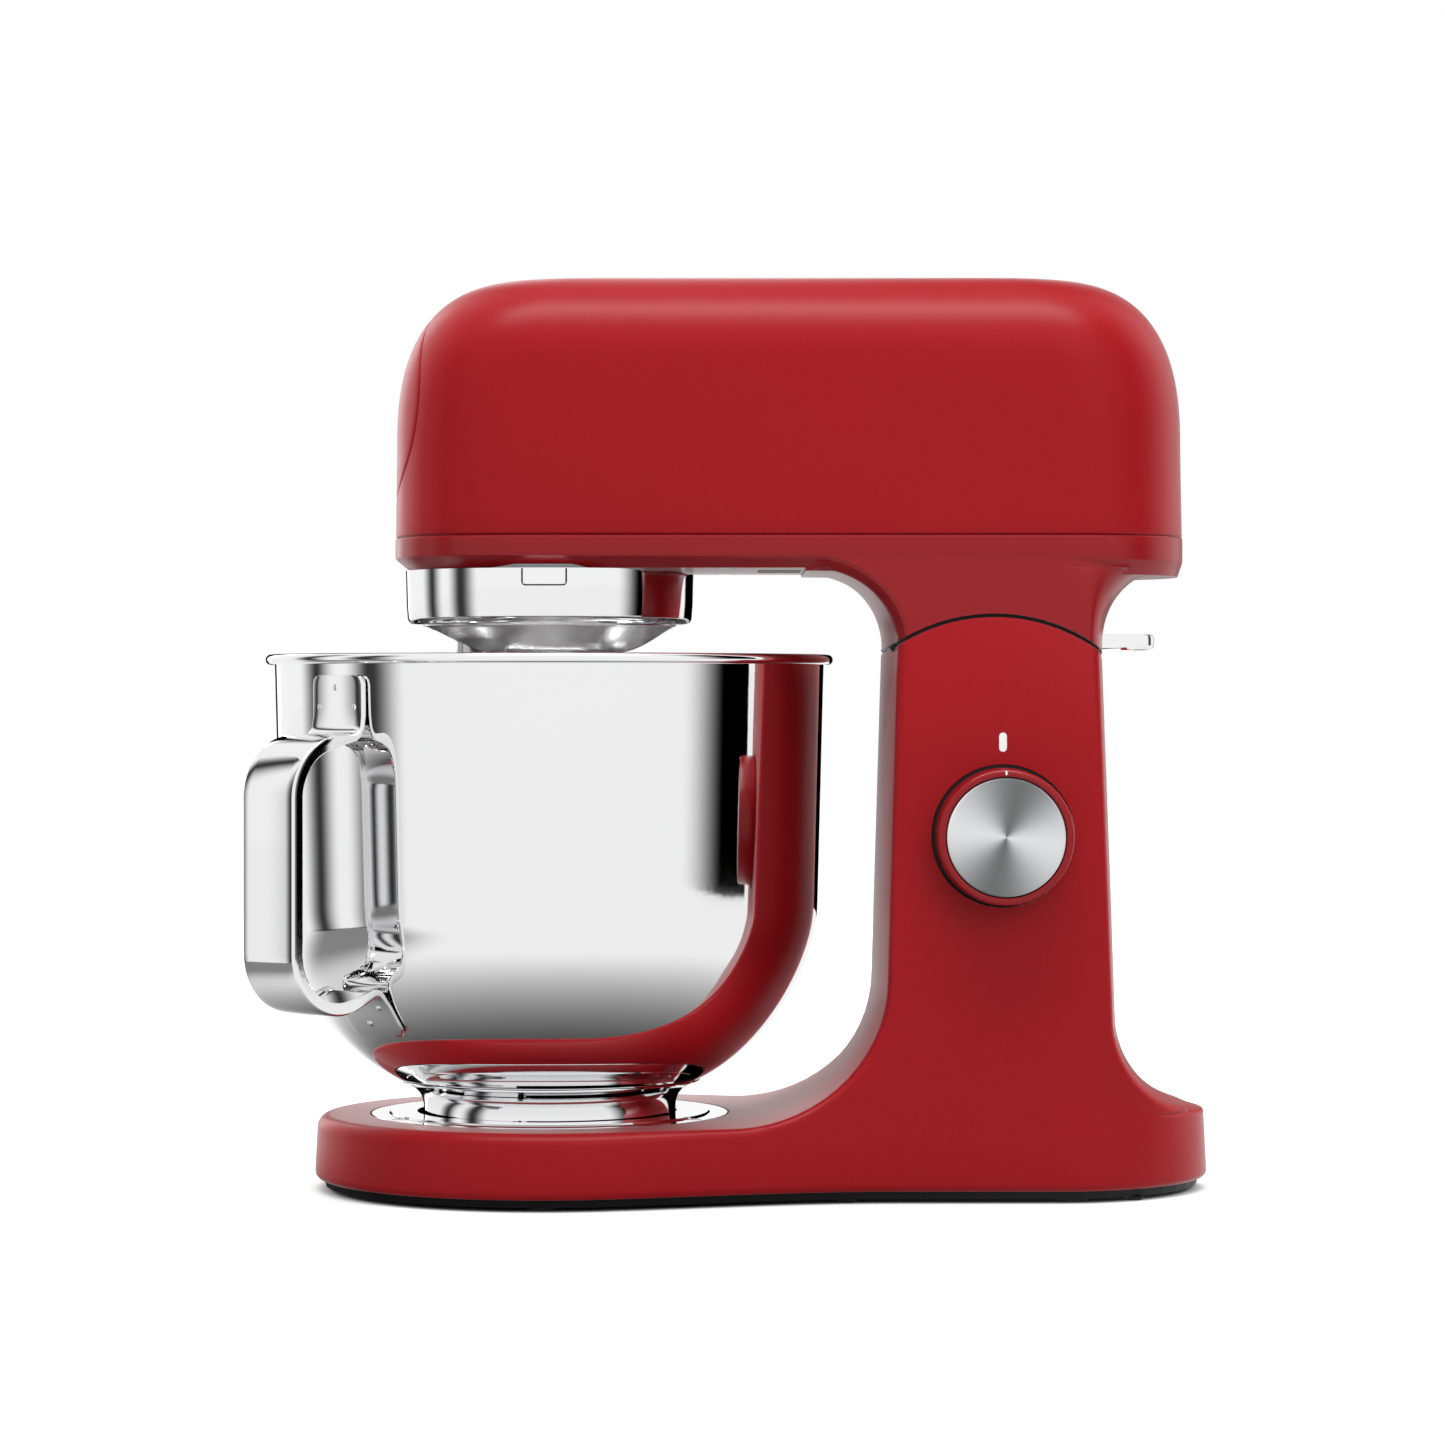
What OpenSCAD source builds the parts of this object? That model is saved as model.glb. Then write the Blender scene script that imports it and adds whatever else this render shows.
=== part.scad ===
// Tilt-head stand mixer: die-cast stand, tilting head with planetary drive, steel bowl.
// Lengths are millimetres. Inside the modules the bowl axis stands at X = 0 and the worktop is Z = 0,
// the head's nose points to -X, its rear to +X, and the control knob is on the -Y side.

/* [Head] */
// Height of the seam between head cover and lower casing above the worktop
seam_z = 242.3; // [238:0.1:250]
// Height of the head cover above the seam
cover_h = 95.7; // [90:0.1:105]
// Reach of the nose ahead of the bowl axis
nose_reach = 57.4; // [56:0.1:66]
// Reach of the head behind the bowl axis
tail_reach = 236.4; // [230:0.1:245]
// Half of the head's width
head_hw = 53.5; // [53:0.1:60]
// Length over which the plan of the head rounds off at each end
end_len = 47; // [40:1:55]
// Depth of the nose's rounded top corner along the head
nose_round = 52; // [40:1:56]
// Depth of the tail's rounded top corner along the head
tail_round = 50; // [40:1:56]
// Height over which nose and tail round over into the top
round_h = 63; // [50:1:66]
// Half width of the flat strip along the top of the head
top_flat = 21; // [15:1:30]
// Height over which the long top edges round over
edge_h = 33; // [28:1:38]
// Wall of the head cover
cover_wall = 3; // [2.4:0.1:3.6]
// Height of the lower casing, from the head's underside to the seam
casing_h = 12.1; // [11:0.1:13]
// Drop of the lip, where the underside chamfer starts, below the seam
lip_drop = 7.7; // [6:0.1:8]
// Width of the underside chamfer
lip_w = 5; // [4:0.1:6]
// Thickness of the lower casing's floor
floor_t = 4; // [3.5:0.1:4.4]

/* [Neck and tilt hinge] */
// Distance of the tilt hinge behind the bowl axis
hinge_x = 163.5; // [160:0.1:166]
// Height of the tilt hinge above the worktop
hinge_z = 147.7; // [145:0.1:150]
// Radius of the column's curved top about the hinge
seam_r = 64.5; // [62:0.1:66]
// Open gap between column top and neck
seam_gap = 1.3; // [0.8:0.1:2]
// Radius of the hollow curve between neck and head
neck_fillet = 28.5; // [24:0.5:29]
// Wall of the neck
neck_wall = 4; // [3:0.1:5]
// Largest tilt of the head in degrees
tilt_max = 45; // [30:1:45]
// Radius of the hinge pin
pin_r = 5; // [4:0.1:6]
// Radial clearance of turning fits
fit = 0.05; // [0.02:0.01:0.09]
// Thickness of each hinge arm
arm_t = 8; // [6:0.5:10]
// Distance of a hinge arm's middle from the centre plane
arm_y = 28; // [27:0.5:30]
// Angle of the arms at rest, from +X upwards
arm_angle = 107; // [106:1:109]

/* [Stand] */
// Radius of the round front of the base
base_r = 87.7; // [84:0.1:92]
// Half width of the base's rear part at the worktop
tail_hw = 59.4; // [57:0.1:62]
// Height of the base's top face
base_top = 27.7; // [27:0.1:30]
// Height of the casting's bottom edge
base_bottom = 4.1; // [3.6:0.1:5]
// Radius of the base's top edge
base_edge = 4.5; // [3:0.1:5.5]
// Wall of the stand casting
stand_wall = 4; // [3.4:0.1:4.6]
// Distance of the column's front from the hinge, at its foot
front_depth = 42.7; // [41:0.1:44]
// Lean of the column's front over its height
column_lean = 3.7; // [3:0.1:5]
// Distance of the column's rear from the hinge, at its foot
rear_depth = 46.7; // [45:0.1:48]
// Depth of the rounded front and rear of the column's plan
column_bulge = 9; // [7:0.5:11]
// Radius of the hollow curve in front of the column
front_fillet = 52.3; // [48:0.1:53]
// Radius of the hollow curve behind the column
rear_fillet = 36.4; // [32:0.1:38]
// Height of a rubber foot
foot_h = 4; // [3.4:0.1:5]
// Radius of a rubber foot
foot_r = 5.5; // [4:0.1:7]

/* [Bowl] */
// Overhang of the rolled rim beyond the wall
rim_lip = 3.4; // [2.6:0.1:4.4]
// Radius of the rolled bead's section
bead_r = 1.9; // [1.4:0.1:2.4]
// Height of the rim's top above the worktop
rim_z = 198.9; // [196:0.1:199.4]
// Outer radius of the bowl's wall just under the rim
wall_r = 102.6; // [101:0.1:103]
// Narrowing of the wall down to where the round bottom starts
belly_draft = 2.3; // [1:0.1:4]
// Height at which the round bottom starts
belly_z = 107; // [100:1:112]
// Height of the bowl's outer bottom face
bowl_z = 34; // [33:0.1:36]
// Radius of the flat in the bottom
bottom_r = 30; // [24:1:34]
// Sheet thickness of the bowl
bowl_t = 1.2; // [1:0.1:1.6]
// Radius of the foot ring
ring_r = 47.1; // [46:0.1:48]
// Radius of the seat plate
seat_r = 67; // [62:0.5:70]
// Twist that frees the bowl, in degrees
twist_max = 30; // [26:1:34]

/* [Bowl handle] */
// Width of the strap
strap_w = 28; // [24:1:32]
// Thickness of the strap
strap_t = 1.8; // [1.5:0.1:2.4]
// Distance of the grip's outer face from the bowl's wall
grip_reach = 33.4; // [30:0.1:38]
// Drop of the upper handle plate below the rim's top
plate_drop = 7.9; // [6:0.1:12]
// Drop of the strap's upper arm below the rim's top
arm_drop = 29.9; // [27:0.1:33]
// Height of the strap's lowest point above the bowl's bottom
arm_rise = 36.5; // [34:0.5:42]
// Radius of the strap's two large bends
strap_bend = 21.5; // [16:0.5:24]
// Compass angle of the handle about the bowl axis
handle_angle = 225; // [180:5:270]

/* [Planetary drive] */
// Rim of metal between the ring gear's pitch circle and the hub ring
ring_rim = 5.5; // [4.5:0.1:6.5]
// Teeth of the ring gear
ring_teeth = 62; // [62:2:62]
// Teeth of the planet gear
planet_teeth = 22; // [22:2:22]
// Gear module of the main gear and pinion
main_module = 1.25; // [1.25:0.05:1.25]
// Teeth of the main gear
main_teeth = 56; // [56:2:56]
// Teeth of the pinion
pinion_teeth = 14; // [14:2:14]
// Play between meshing teeth at the pitch circle
backlash = 0.3; // [0.2:0.05:0.4]
// Overhang of the hub ring beyond the head's half width
hub_over = 0.3; // [0:0.1:1]
// Height of the hub ring below the head's underside
hub_h = 20.2; // [18:0.1:21]
// Wall of the hub ring
hub_wall = 1.8; // [1.4:0.1:2]
// Width of the hub ring's lower face around the turning dome
hub_face = 6.6; // [5:0.1:8]
// Radius of the tool spindle
spindle_r = 5; // [4.5:0.1:5.5]
// Outer radius of the beater's collar
collar_r = 13; // [11:0.1:14]
// Least gap between beater and bowl
beater_gap = 3; // [2.5:0.1:5]
// Thickness of the beater's frame
beater_t = 7; // [5:0.5:9]
// Radius of the large pulley
pulley_r = 28; // [24:1:32]
// Radius of the motor pulley
drive_r = 8; // [6:0.5:10]
// Distance between the axes of the two pulleys
belt_span = 60.25; // [56:0.25:64]
// Radius of the motor's body
motor_r = 36; // [30:1:38]
// Height of the motor's body
motor_h = 60; // [50:1:60]

/* [Controls] */
// Distance of the knob behind the tilt hinge
knob_shift = 2.9; // [0:0.1:5]
// Drop of the knob's centre below the tilt hinge
knob_drop = 14.9; // [14:0.1:17]
// Radius of the knob
knob_r = 24.8; // [20:0.1:26]
// Distance by which the knob stands out of the column's side
knob_out = 19.4; // [16:0.1:24]
// Radius of the metal cap in the knob's face
cap_r = 21.4; // [17:0.1:22]
// Height of the indicator slot's centre above the tilt hinge
lamp_rise = 19.1; // [17:0.1:24]
// Height of the indicator slot
lamp_h = 7.2; // [6:0.1:9]
// Width of the indicator slot
lamp_w = 3; // [2:0.1:4]
// Distance by which the release lever stands out behind the neck
lever_out = 20.8; // [16:0.5:26]
// Half width of the release lever
lever_hw = 15; // [12:0.5:18]
// Thickness of the release lever
lever_t = 4.8; // [4:0.1:5]

/* [Hidden] */
e = 0.01;
gap = 0.3;
$fn = 64;

head_top = seam_z + cover_h;
under_z = seam_z - casing_h;
lip_z = seam_z - lip_drop;
column_front = hinge_x - front_depth;
column_rear = hinge_x + rear_depth;
// The rear curve starts where its rise is a fiftieth of its radius
rear_start = asin(0.2);
base_rear = column_rear + rear_fillet * (1 - sin(rear_start)) + base_edge + 2.18;
rim_r = wall_r + rim_lip;
belly_r = wall_r - belly_draft;
// Offset that puts the origin under the middle of the part's footprint
frame_x = (base_rear - rim_r) / 2;
grip_r = wall_r + grip_reach;
plate_top = rim_z - plate_drop;
arm_top = rim_z - arm_drop;
arm_bottom = bowl_z + arm_rise;
hub_r = head_hw + hub_over;
ring_module = 2 * (hub_r - hub_wall - ring_rim) / ring_teeth;
orbit = ring_module * (ring_teeth - planet_teeth) / 2;
jack_x = main_module * (main_teeth + pinion_teeth) / 2;
hub_z = under_z - hub_h;
dome_r = hub_r - hub_face;
motor_x = jack_x + belt_span;
knob_x = hinge_x + knob_shift;
knob_z = hinge_z - knob_drop;
lamp_z = hinge_z + lamp_rise;
round_n = 2.6;
edge_n = 2.2;
plan_n = 2.2;
end_steps = 10;
flank_steps = 6;
// Half width of the stand at height z
taper_z = 204;
function stand_hw(z) =
  tail_hw - (tail_hw - head_hw) * min(1, (z - base_bottom) / (taper_z - base_bottom));
// Height of a circle of radius r about the hinge, above the point x
function arc_z(x, r) = hinge_z + sqrt(max(0, r * r - (x - hinge_x) * (x - hinge_x)));

// ---- Lofted shells ----
// A half outline runs from the front tip over +Y to the rear tip; a ring is it and its mirror image.
function full_ring(h) = concat(h, [for (i = [len(h) - 2 : -1 : 1]) [h[i][0], -h[i][1], h[i][2]]]);
function quad(a, b, c, d) = [[a, b, c], [a, c, d]];
function wall_faces(n, rows, first, flip) = [
  for (k = [0 : rows - 2], i = [0 : n - 1])
    let (j = (i + 1) % n, lo = first + k * n, hi = lo + n)
      each flip ? quad(lo + j, lo + i, hi + i, hi + j) : quad(lo + i, lo + j, hi + j, hi + i)
];
function cap_faces(n, first, flip) = [
  for (i = [0 : n / 2 - 1])
    let (a = first + i, b = first + i + 1, c = first + n - i - 1, d = first + (n - i) % n)
      each i == 0 ? (flip ? [[c, b, a]] : [[a, b, c]])
        : i == n / 2 - 1 ? (flip ? [[d, b, a]] : [[a, b, d]])
        : flip ? quad(d, c, b, a) : quad(a, b, c, d)
];
module loft(halves) {
  rings = [for (h = halves) full_ring(h)];
  n = len(rings[0]);
  rows = len(rings);
  polyhedron(
    points = [for (r = rings) each r],
    faces = concat(wall_faces(n, rows, 0, false), cap_faces(n, 0, true),
                   cap_faces(n, (rows - 1) * n, false)),
    convexity = 6);
}
// A closed shell, open at the bottom: outer and inner rings meet in a rim under the first rings
module shell_loft(outer, inner) {
  rings = [for (h = concat(outer, inner)) full_ring(h)];
  n = len(rings[0]);
  a = len(outer);
  b = len(inner);
  rim = [for (i = [0 : n - 1]) let (j = (i + 1) % n) each quad(j, i, a * n + i, a * n + j)];
  polyhedron(
    points = [for (r = rings) each r],
    faces = concat(wall_faces(n, a, 0, false), cap_faces(n, (a - 1) * n, false), rim,
                   wall_faces(n, b, a * n, true), cap_faces(n, (a + b - 1) * n, true)),
    convexity = 8);
}
// Half outline with superellipse ends of length l, exponent p
function oval(xf, xr, w, l, p, z) = concat(
  [for (i = [0 : end_steps]) let (t = 90 * i / end_steps)
    [xf + l - l * pow(cos(t), 2 / p), w * pow(sin(t), 2 / p), z]],
  [for (i = [end_steps : -1 : 0]) let (t = 90 * i / end_steps)
    [xr - l + l * pow(cos(t), 2 / p), w * pow(sin(t), 2 / p), z]]);

// ---- Gears ----
function involute(rb, a) = [rb * (cos(a) + a * PI / 180 * sin(a)), rb * (sin(a) - a * PI / 180 * cos(a))];
function spin(p, a) = [p[0] * cos(a) - p[1] * sin(a), p[0] * sin(a) + p[1] * cos(a)];
function roll(rb, r) = sqrt(max(0, r * r / (rb * rb) - 1)) * 180 / PI;
// Outline of an involute gear; extra adds to each tooth's thickness, up and down set its height
module gear_outline(m, teeth, extra, up, down) {
  rp = m * teeth / 2;
  rb = rp * cos(20);
  r1 = rp + up;
  r0 = rp - down;
  half = 90 / teeth + extra / rp / 2 * 180 / PI;
  at_pitch = roll(rb, rp) - atan(roll(rb, rp) * PI / 180);
  steps = 3;
  flank = [for (k = [0 : steps]) let (r = max(rb, r0) + (r1 - max(rb, r0)) * k / steps)
    spin(involute(rb, roll(rb, r)), -half - at_pitch)];
  root = [spin([r0, 0], atan2(flank[0][1], flank[0][0]))];
  side = concat(r0 < rb ? root : [], flank);
  polygon([for (t = [0 : teeth - 1])
    each concat([for (p = side) spin(p, 360 * t / teeth)],
                [for (k = [len(side) - 1 : -1 : 0]) spin([side[k][0], -side[k][1]], 360 * t / teeth)])]);
}
module spur(m, teeth, h, bore) {
  difference() {
    linear_extrude(h) gear_outline(m, teeth, -backlash / 2, 0.9 * m, 1.2 * m);
    translate([0, 0, -e]) cylinder(r = bore, h = h + 2 * e);
  }
}
module tube(r_out, r_in, h) {
  difference() {
    cylinder(r = r_out, h = h);
    translate([0, 0, -e]) cylinder(r = r_in, h = h + 2 * e);
  }
}
// A cylinder along Y from y0 to y1 through (x, z)
module rod_y(x, z, r, y0, y1) {
  translate([x, y0, z]) rotate([-90, 0, 0]) cylinder(r = r, h = y1 - y0);
}
// ---- Stand ----
flank_x0 = 20;
flank_x1 = column_front + 6.2;
rear_len = 56;
rear_n = 1.8;
column_n = 2.6;
function hermite(t, a, sa, b) =
  (2 * t * t * t - 3 * t * t + 1) * a + (t * t * t - 2 * t * t + t) * sa + (3 * t * t - 2 * t * t * t) * b;
function base_hw(x, r, w) = x < flank_x0 ? sqrt(r * r - x * x) : x > flank_x1 ? w
  : let (w0 = sqrt(r * r - flank_x0 * flank_x0), t = (x - flank_x0) / (flank_x1 - flank_x0))
    hermite(t, w0, -flank_x0 / w0 * (flank_x1 - flank_x0), w);
// Half outline of the base, inset by d, and by a share of s that fades out along the flanks
function base_half(z, d, s) = let (
    draft = 0.05 * (z - base_bottom),
    r = base_r - draft - d, w = stand_hw(z) - d, xr = base_rear - draft - d, l = rear_len - d,
    sweep = 90 + asin(flank_x0 / r), flank_end = xr - l)
  concat(
    [for (i = [0 : end_steps]) let (a = sweep * i / end_steps) [-(r - s) * cos(a), (r - s) * sin(a), z]],
    [for (i = [1 : flank_steps]) let (
        x = flank_x0 + (flank_end - flank_x0) * i / (flank_steps + 1),
        fade = s * max(0, 1 - (x - flank_x0) / (flank_x1 - flank_x0)))
      [x, base_hw(x, r, w) - fade, z]],
    [for (i = [end_steps : -1 : 0]) let (t = 90 * i / end_steps, q = s * cos(t))
      [flank_end + (l - q) * pow(cos(t), 2 / rear_n), w * pow(sin(t), 2 / rear_n), z]]);
// Half outline of the column between a front at (xf, zf) and a rear at (xr, zr);
// soft is 0 up the column and nears 1 at its foot, where the rear rounds off like the base
function column_half(xf, zf, xr, zr, d, soft) = let (
    l = column_bulge - d / 2,
    lr = l + (rear_len - 6 - l) * soft, nr = column_n + (rear_n - column_n) * soft)
  concat(
    [for (i = [0 : end_steps]) let (t = 90 * i / end_steps)
      [xf + l - l * pow(cos(t), 2 / column_n), (stand_hw(zf) - d) * pow(sin(t), 2 / column_n), zf]],
    [for (i = [1 : flank_steps]) let (t = i / (flank_steps + 1), z = zf + (zr - zf) * t)
      [xf + l + (xr - xf - l - lr) * t, stand_hw(z) - d, z]],
    [for (i = [end_steps : -1 : 0]) let (t = 90 * i / end_steps)
      [xr - lr + lr * pow(cos(t), 2 / nr), (stand_hw(zr) - d) * pow(sin(t), 2 / nr), zr]]);
front_cz = base_top + front_fillet;
rear_cz = base_top + 2.6 + rear_fillet;
function column_x(z) = column_front + column_lean * max(0, z - front_cz) / (taper_z - front_cz);
function column_xr(z) = column_rear - 4.8 * max(0, z - rear_cz) / (taper_z - rear_cz);
// Ring of the foot of the column at fillet angle a, with the surface moved inwards by d
function fillet_half(a, d) = let (b = rear_start + (90 - rear_start) * a / 90)
  column_half(
    column_front - front_fillet + (front_fillet + d) * sin(a), front_cz - (front_fillet + d) * cos(a),
    column_rear + rear_fillet - (rear_fillet + d) * sin(b), rear_cz - (rear_fillet + d) * cos(b),
    d, 1 - sin(a));
function straight_half(z, d) = column_half(column_x(z) + d, z, column_xr(z) - d, z, d, 0);
function arched_half(r, d) = [for (p = straight_half(taper_z - 6, d)) [p[0], p[1], arc_z(p[0], r)]];

module stand_shell() {
  outer = concat(
    [base_half(base_bottom, 2, 0), base_half(base_bottom + 1, 0.6, 0), base_half(base_bottom + 2.6, 0, 0)],
    [for (a = [0 : 22.5 : 90])
      base_half(base_top - base_edge * (1 - sin(a)), 0, base_edge * (1 - cos(a)))],
    [for (a = [4, 15, 30, 45, 60, 75, 90]) fillet_half(a, 0)],
    [straight_half(110, 0), straight_half(150, 0), arched_half(seam_r, 0)]);
  inner = concat(
    [base_half(base_bottom, 2 + stand_wall, 0), base_half(base_bottom + 3, stand_wall, 0),
     base_half(base_top - stand_wall - 0.4, stand_wall, 0)],
    [for (a = [15, 30, 45, 60, 90]) fillet_half(a, stand_wall)],
    [straight_half(110, stand_wall), straight_half(150, stand_wall), arched_half(seam_r - 5, stand_wall)]);
  shell_loft(outer, inner);
}
// Slots in the column's curved top that the hinge arms travel through
arm_half = 4.6;
slot_margin = 1.5;
module arm_slots() {
  a1 = arm_angle + arm_half + slot_margin;
  a0 = arm_angle - tilt_max - arm_half - slot_margin;
  far = seam_r + 10;
  for (side = [-1, 1])
    translate([hinge_x, side * arm_y + (arm_t + 1.2) / 2, hinge_z]) rotate([90, 0, 0])
      linear_extrude(arm_t + 1.2)
        polygon([[0, 8], for (a = [a0 : (a1 - a0) / 6 : a1 + e]) far * [cos(a), sin(a)]]);
}
boss_r = pin_r + 6;
boss_in = arm_y + arm_t / 2 + 0.8;
bush_r = pin_r + 2;
pin_end = head_hw - stand_wall;
knob_face = stand_hw(knob_z) + knob_out;
recess_r = knob_r + 1.2;
recess_d = 2;
function side_y(z) = stand_hw(z);
cup_r = ring_r + 4.1;
seat_low = base_top - 1.5;
cup_floor = base_top - 6.2;
foot_places = [[0, base_r - 11.7], [base_rear - 54, tail_hw - 11.4]];
module foot_holes(r, h) {
  for (p = foot_places, s = [-1, 1]) translate([p[0], s * p[1], 0]) cylinder(r = r, h = h);
}
rear_screw_x = base_rear - 31;
rear_screw_y = base_half_width(rear_screw_x) - stand_wall - 3.2;
function base_half_width(x) =
  tail_hw * pow(1 - pow((x - base_rear + rear_len) / rear_len, rear_n), 1 / rear_n);
flank_screw_x = column_front - 10.8;
flank_screw_y = base_hw(flank_screw_x, base_r, stand_hw(base_top)) - stand_wall - 3.2;
screw_places = [[37.7 - base_r, base_r - 47.7], [40, base_r - 25.7], [flank_screw_x, flank_screw_y],
                [rear_screw_x, rear_screw_y]];
pillar_top = base_top - stand_wall;
module stand_casting() {
  color([0.60, 0.10, 0.12]) difference() {
    union() {
      stand_shell();
      // Hinge bosses inside the cheeks
      for (s = [-1, 1])
        rod_y(hinge_x, hinge_z, boss_r, s > 0 ? boss_in : -side_y(hinge_z) + 2,
              s > 0 ? side_y(hinge_z) - 2 : -boss_in);
      // Screw pillars for the base plate
      for (p = screw_places, s = [-1, 1])
        translate([p[0], s * p[1], base_bottom + 2]) cylinder(r = 4, h = pillar_top - base_bottom - 1);
    }
    arm_slots();
    for (s = [-1, 1])
      rod_y(hinge_x, hinge_z, bush_r, s > 0 ? boss_in - 1 : -pin_end - 0.5,
          s > 0 ? pin_end + 0.5 : 1 - boss_in);
    // Knob recess and shaft hole
    rod_y(knob_x, knob_z, recess_r, -side_y(knob_z) - 5, -side_y(knob_z) + recess_d);
    rod_y(knob_x, knob_z, 4.2, -side_y(knob_z) - 5, -side_y(knob_z) + 8);
    // Indicator slot
    indicator_prism(0, -side_y(lamp_z) - 5, -side_y(lamp_z) + 8);
    // Seat for the bowl plate and its cup
    translate([0, 0, seat_low]) cylinder(r = seat_r + gap, h = 10);
    translate([0, 0, cup_floor - 4]) cylinder(r = cup_r + gap, h = 20);
    // Blind holes for the base screws
    for (p = screw_places, s = [-1, 1])
      translate([p[0], s * p[1], 0]) cylinder(r = 1.55, h = pillar_top - 2);
    for (a = [90 : 120 : 330])
      rotate(a) translate([seat_r - 5, 0, cup_floor - 3]) cylinder(r = 1.55, h = 20);
    // Cord inlet at the rear
    translate([base_rear - 30, 0, 14]) rotate([0, 90, 0]) cylinder(r = inlet_r, h = 40);
  }
}
inlet_r = 5.5;
module indicator_prism(d, y0, y1) {
  w = lamp_w - 2 * d;
  for (s = [-1, 1]) rod_y(knob_x, lamp_z + s * (lamp_h - lamp_w) / 2, w / 2, y0, y1);
  translate([knob_x - w / 2, y0, lamp_z - (lamp_h - lamp_w) / 2]) cube([w, y1 - y0, lamp_h - lamp_w]);
}
plate_low = foot_h - 2.8;
module base_plate() {
  color([0.08, 0.08, 0.09]) difference() {
    loft([base_half(plate_low, 4.2, 0), base_half(base_bottom - 0.1, 3.2, 0)]);
    translate([0, 0, -1]) foot_holes(2.05, 10);
    for (p = screw_places, s = [-1, 1]) translate([p[0], s * p[1], -1]) cylinder(r = 1.8, h = 10);
  }
}
module rubber_feet() {
  color([0.12, 0.12, 0.13]) {
    foot_holes(foot_r, plate_low - 0.05);
    foot_holes(2, base_bottom + 0.4);
  }
}
module base_screws() {
  color([0.7, 0.7, 0.72]) for (p = screw_places, s = [-1, 1])
    translate([p[0], s * p[1], plate_low - 1.1]) {
      cylinder(r = 3.2, h = 1.05, $fn = 32);
      translate([0, 0, 0.5]) cylinder(r = 1.5, h = 14);
    }
}
// Bayonet: the seat's three tabs hold the lugs of the bowl's foot
tab_half = twist_max - 14;
lug_half = tab_half - 4;
lug_r = ring_r + 2;
tab_low = base_top - 1.2;
seat_top = base_top + 0.7;
module sector(r0, r1, z0, z1, a0, a1) {
  rotate(a0) rotate_extrude(angle = a1 - a0) translate([r0, z0]) square([r1 - r0, z1 - z0]);
}
module seat_plate() {
  color([0.85, 0.86, 0.87]) difference() {
    union() {
      rotate_extrude($fn = 96) polygon([
        [lug_r + 0.5, seat_low + 0.02], [seat_r - 0.5, seat_low + 0.02], [seat_r, seat_low + 0.5],
        [seat_r, base_top - 0.4], [seat_r - 0.5, base_top], [seat_r - 7, base_top + 0.1],
        [seat_r - 7.6, seat_top], [lug_r + 0.5, seat_top]]);
      translate([0, 0, cup_floor - 2]) tube(cup_r, lug_r + 0.5, seat_low - cup_floor + 2.5);
      translate([0, 0, cup_floor - 2]) cylinder(r = lug_r + 1, h = 2);
      for (a = [0 : 120 : 240]) {
        sector(ring_r + 0.5, lug_r + 0.8, tab_low, seat_top, a - tab_half, a + tab_half);
        sector(ring_r + 0.5, lug_r + 0.8, cup_floor - 1, tab_low + 0.5, a - tab_half, a - lug_half - 1);
      }
    }
    for (a = [90 : 120 : 330])
      rotate(a) translate([seat_r - 5, 0, 0]) {
        cylinder(r = 1.8, h = 60);
        translate([0, 0, base_top - 0.9]) cylinder(r = 3.3, h = 5);
      }
  }
}
module seat_screws() {
  color([0.75, 0.75, 0.77]) for (a = [90 : 120 : 330])
    rotate(a) translate([seat_r - 5, 0, base_top - 0.85]) {
      cylinder(r = 3.1, h = 0.85, $fn = 32);
      translate([0, 0, -7]) cylinder(r = 1.5, h = 7.5);
    }
}
module knob_bezel() {
  y = -side_y(knob_z) + recess_d - 0.05;
  color([0.10, 0.10, 0.11]) difference() {
    rod_y(knob_x, knob_z, recess_r - 0.1, y - 1.2, y);
    rod_y(knob_x, knob_z, 4.2, y - 3, y + 1);
  }
}
module speed_control() {
  y = -side_y(knob_z) + stand_wall + 0.4;
  color([0.20, 0.30, 0.24]) difference() {
    translate([knob_x - 13, y, knob_z - 16]) cube([26, 10, 19]);
    rod_y(knob_x, knob_z, 3 + fit, y - 1, y + 8);
  }
}
module indicator_lens() {
  color([0.97, 0.97, 0.94]) indicator_prism(0.1, -side_y(lamp_z) + 0.1, -side_y(lamp_z) + stand_wall + 0.6);
}
module lamp_board() {
  y = -side_y(lamp_z) + stand_wall + 0.9;
  color([0.10, 0.35, 0.20]) translate([knob_x - 8, y, lamp_z - 7]) cube([16, 1.6, 18]);
}
board_x = column_front + 14;
board_z = front_cz - 20;
board_w = 2 * arm_y + 4;
post_x = column_front + stand_wall + 0.9;
module control_board() {
  color([0.10, 0.35, 0.20]) {
    translate([board_x, -board_w / 2, board_z]) cube([1.6, board_w, board_w]);
    translate([board_x + 1.6, -board_w / 3, board_z + board_w / 6]) cube([14, board_w / 5, board_w / 3]);
    translate([board_x + 1.6, board_w / 12, board_z + board_w / 3])
        cube([10, board_w * 0.3, board_w * 0.4]);
    for (s = [-1, 1]) translate([post_x, s * (arm_y - 2) - 2, front_cz + 6])
        cube([board_x - post_x + e, 4, 4]);
  }
}
module hinge_bushes() {
  color([0.72, 0.58, 0.30]) for (s = [-1, 1])
    translate([hinge_x, s > 0 ? boss_in + 0.1 : -pin_end, hinge_z]) rotate([-90, 0, 0])
      tube(bush_r - 0.02, pin_r + fit, pin_end - boss_in - 0.1);
}
keeper_angle = 78;
module keeper_plate() {
  // A hardened strip under the latch, on the inner side of the column's top
  color([0.65, 0.66, 0.68]) translate([hinge_x, 10, hinge_z]) rotate([90, 0, 0])
    rotate(keeper_angle - 6) rotate_extrude(angle = 12) translate([seam_r - 7.2, 0]) square([2, 20]);
}
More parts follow.
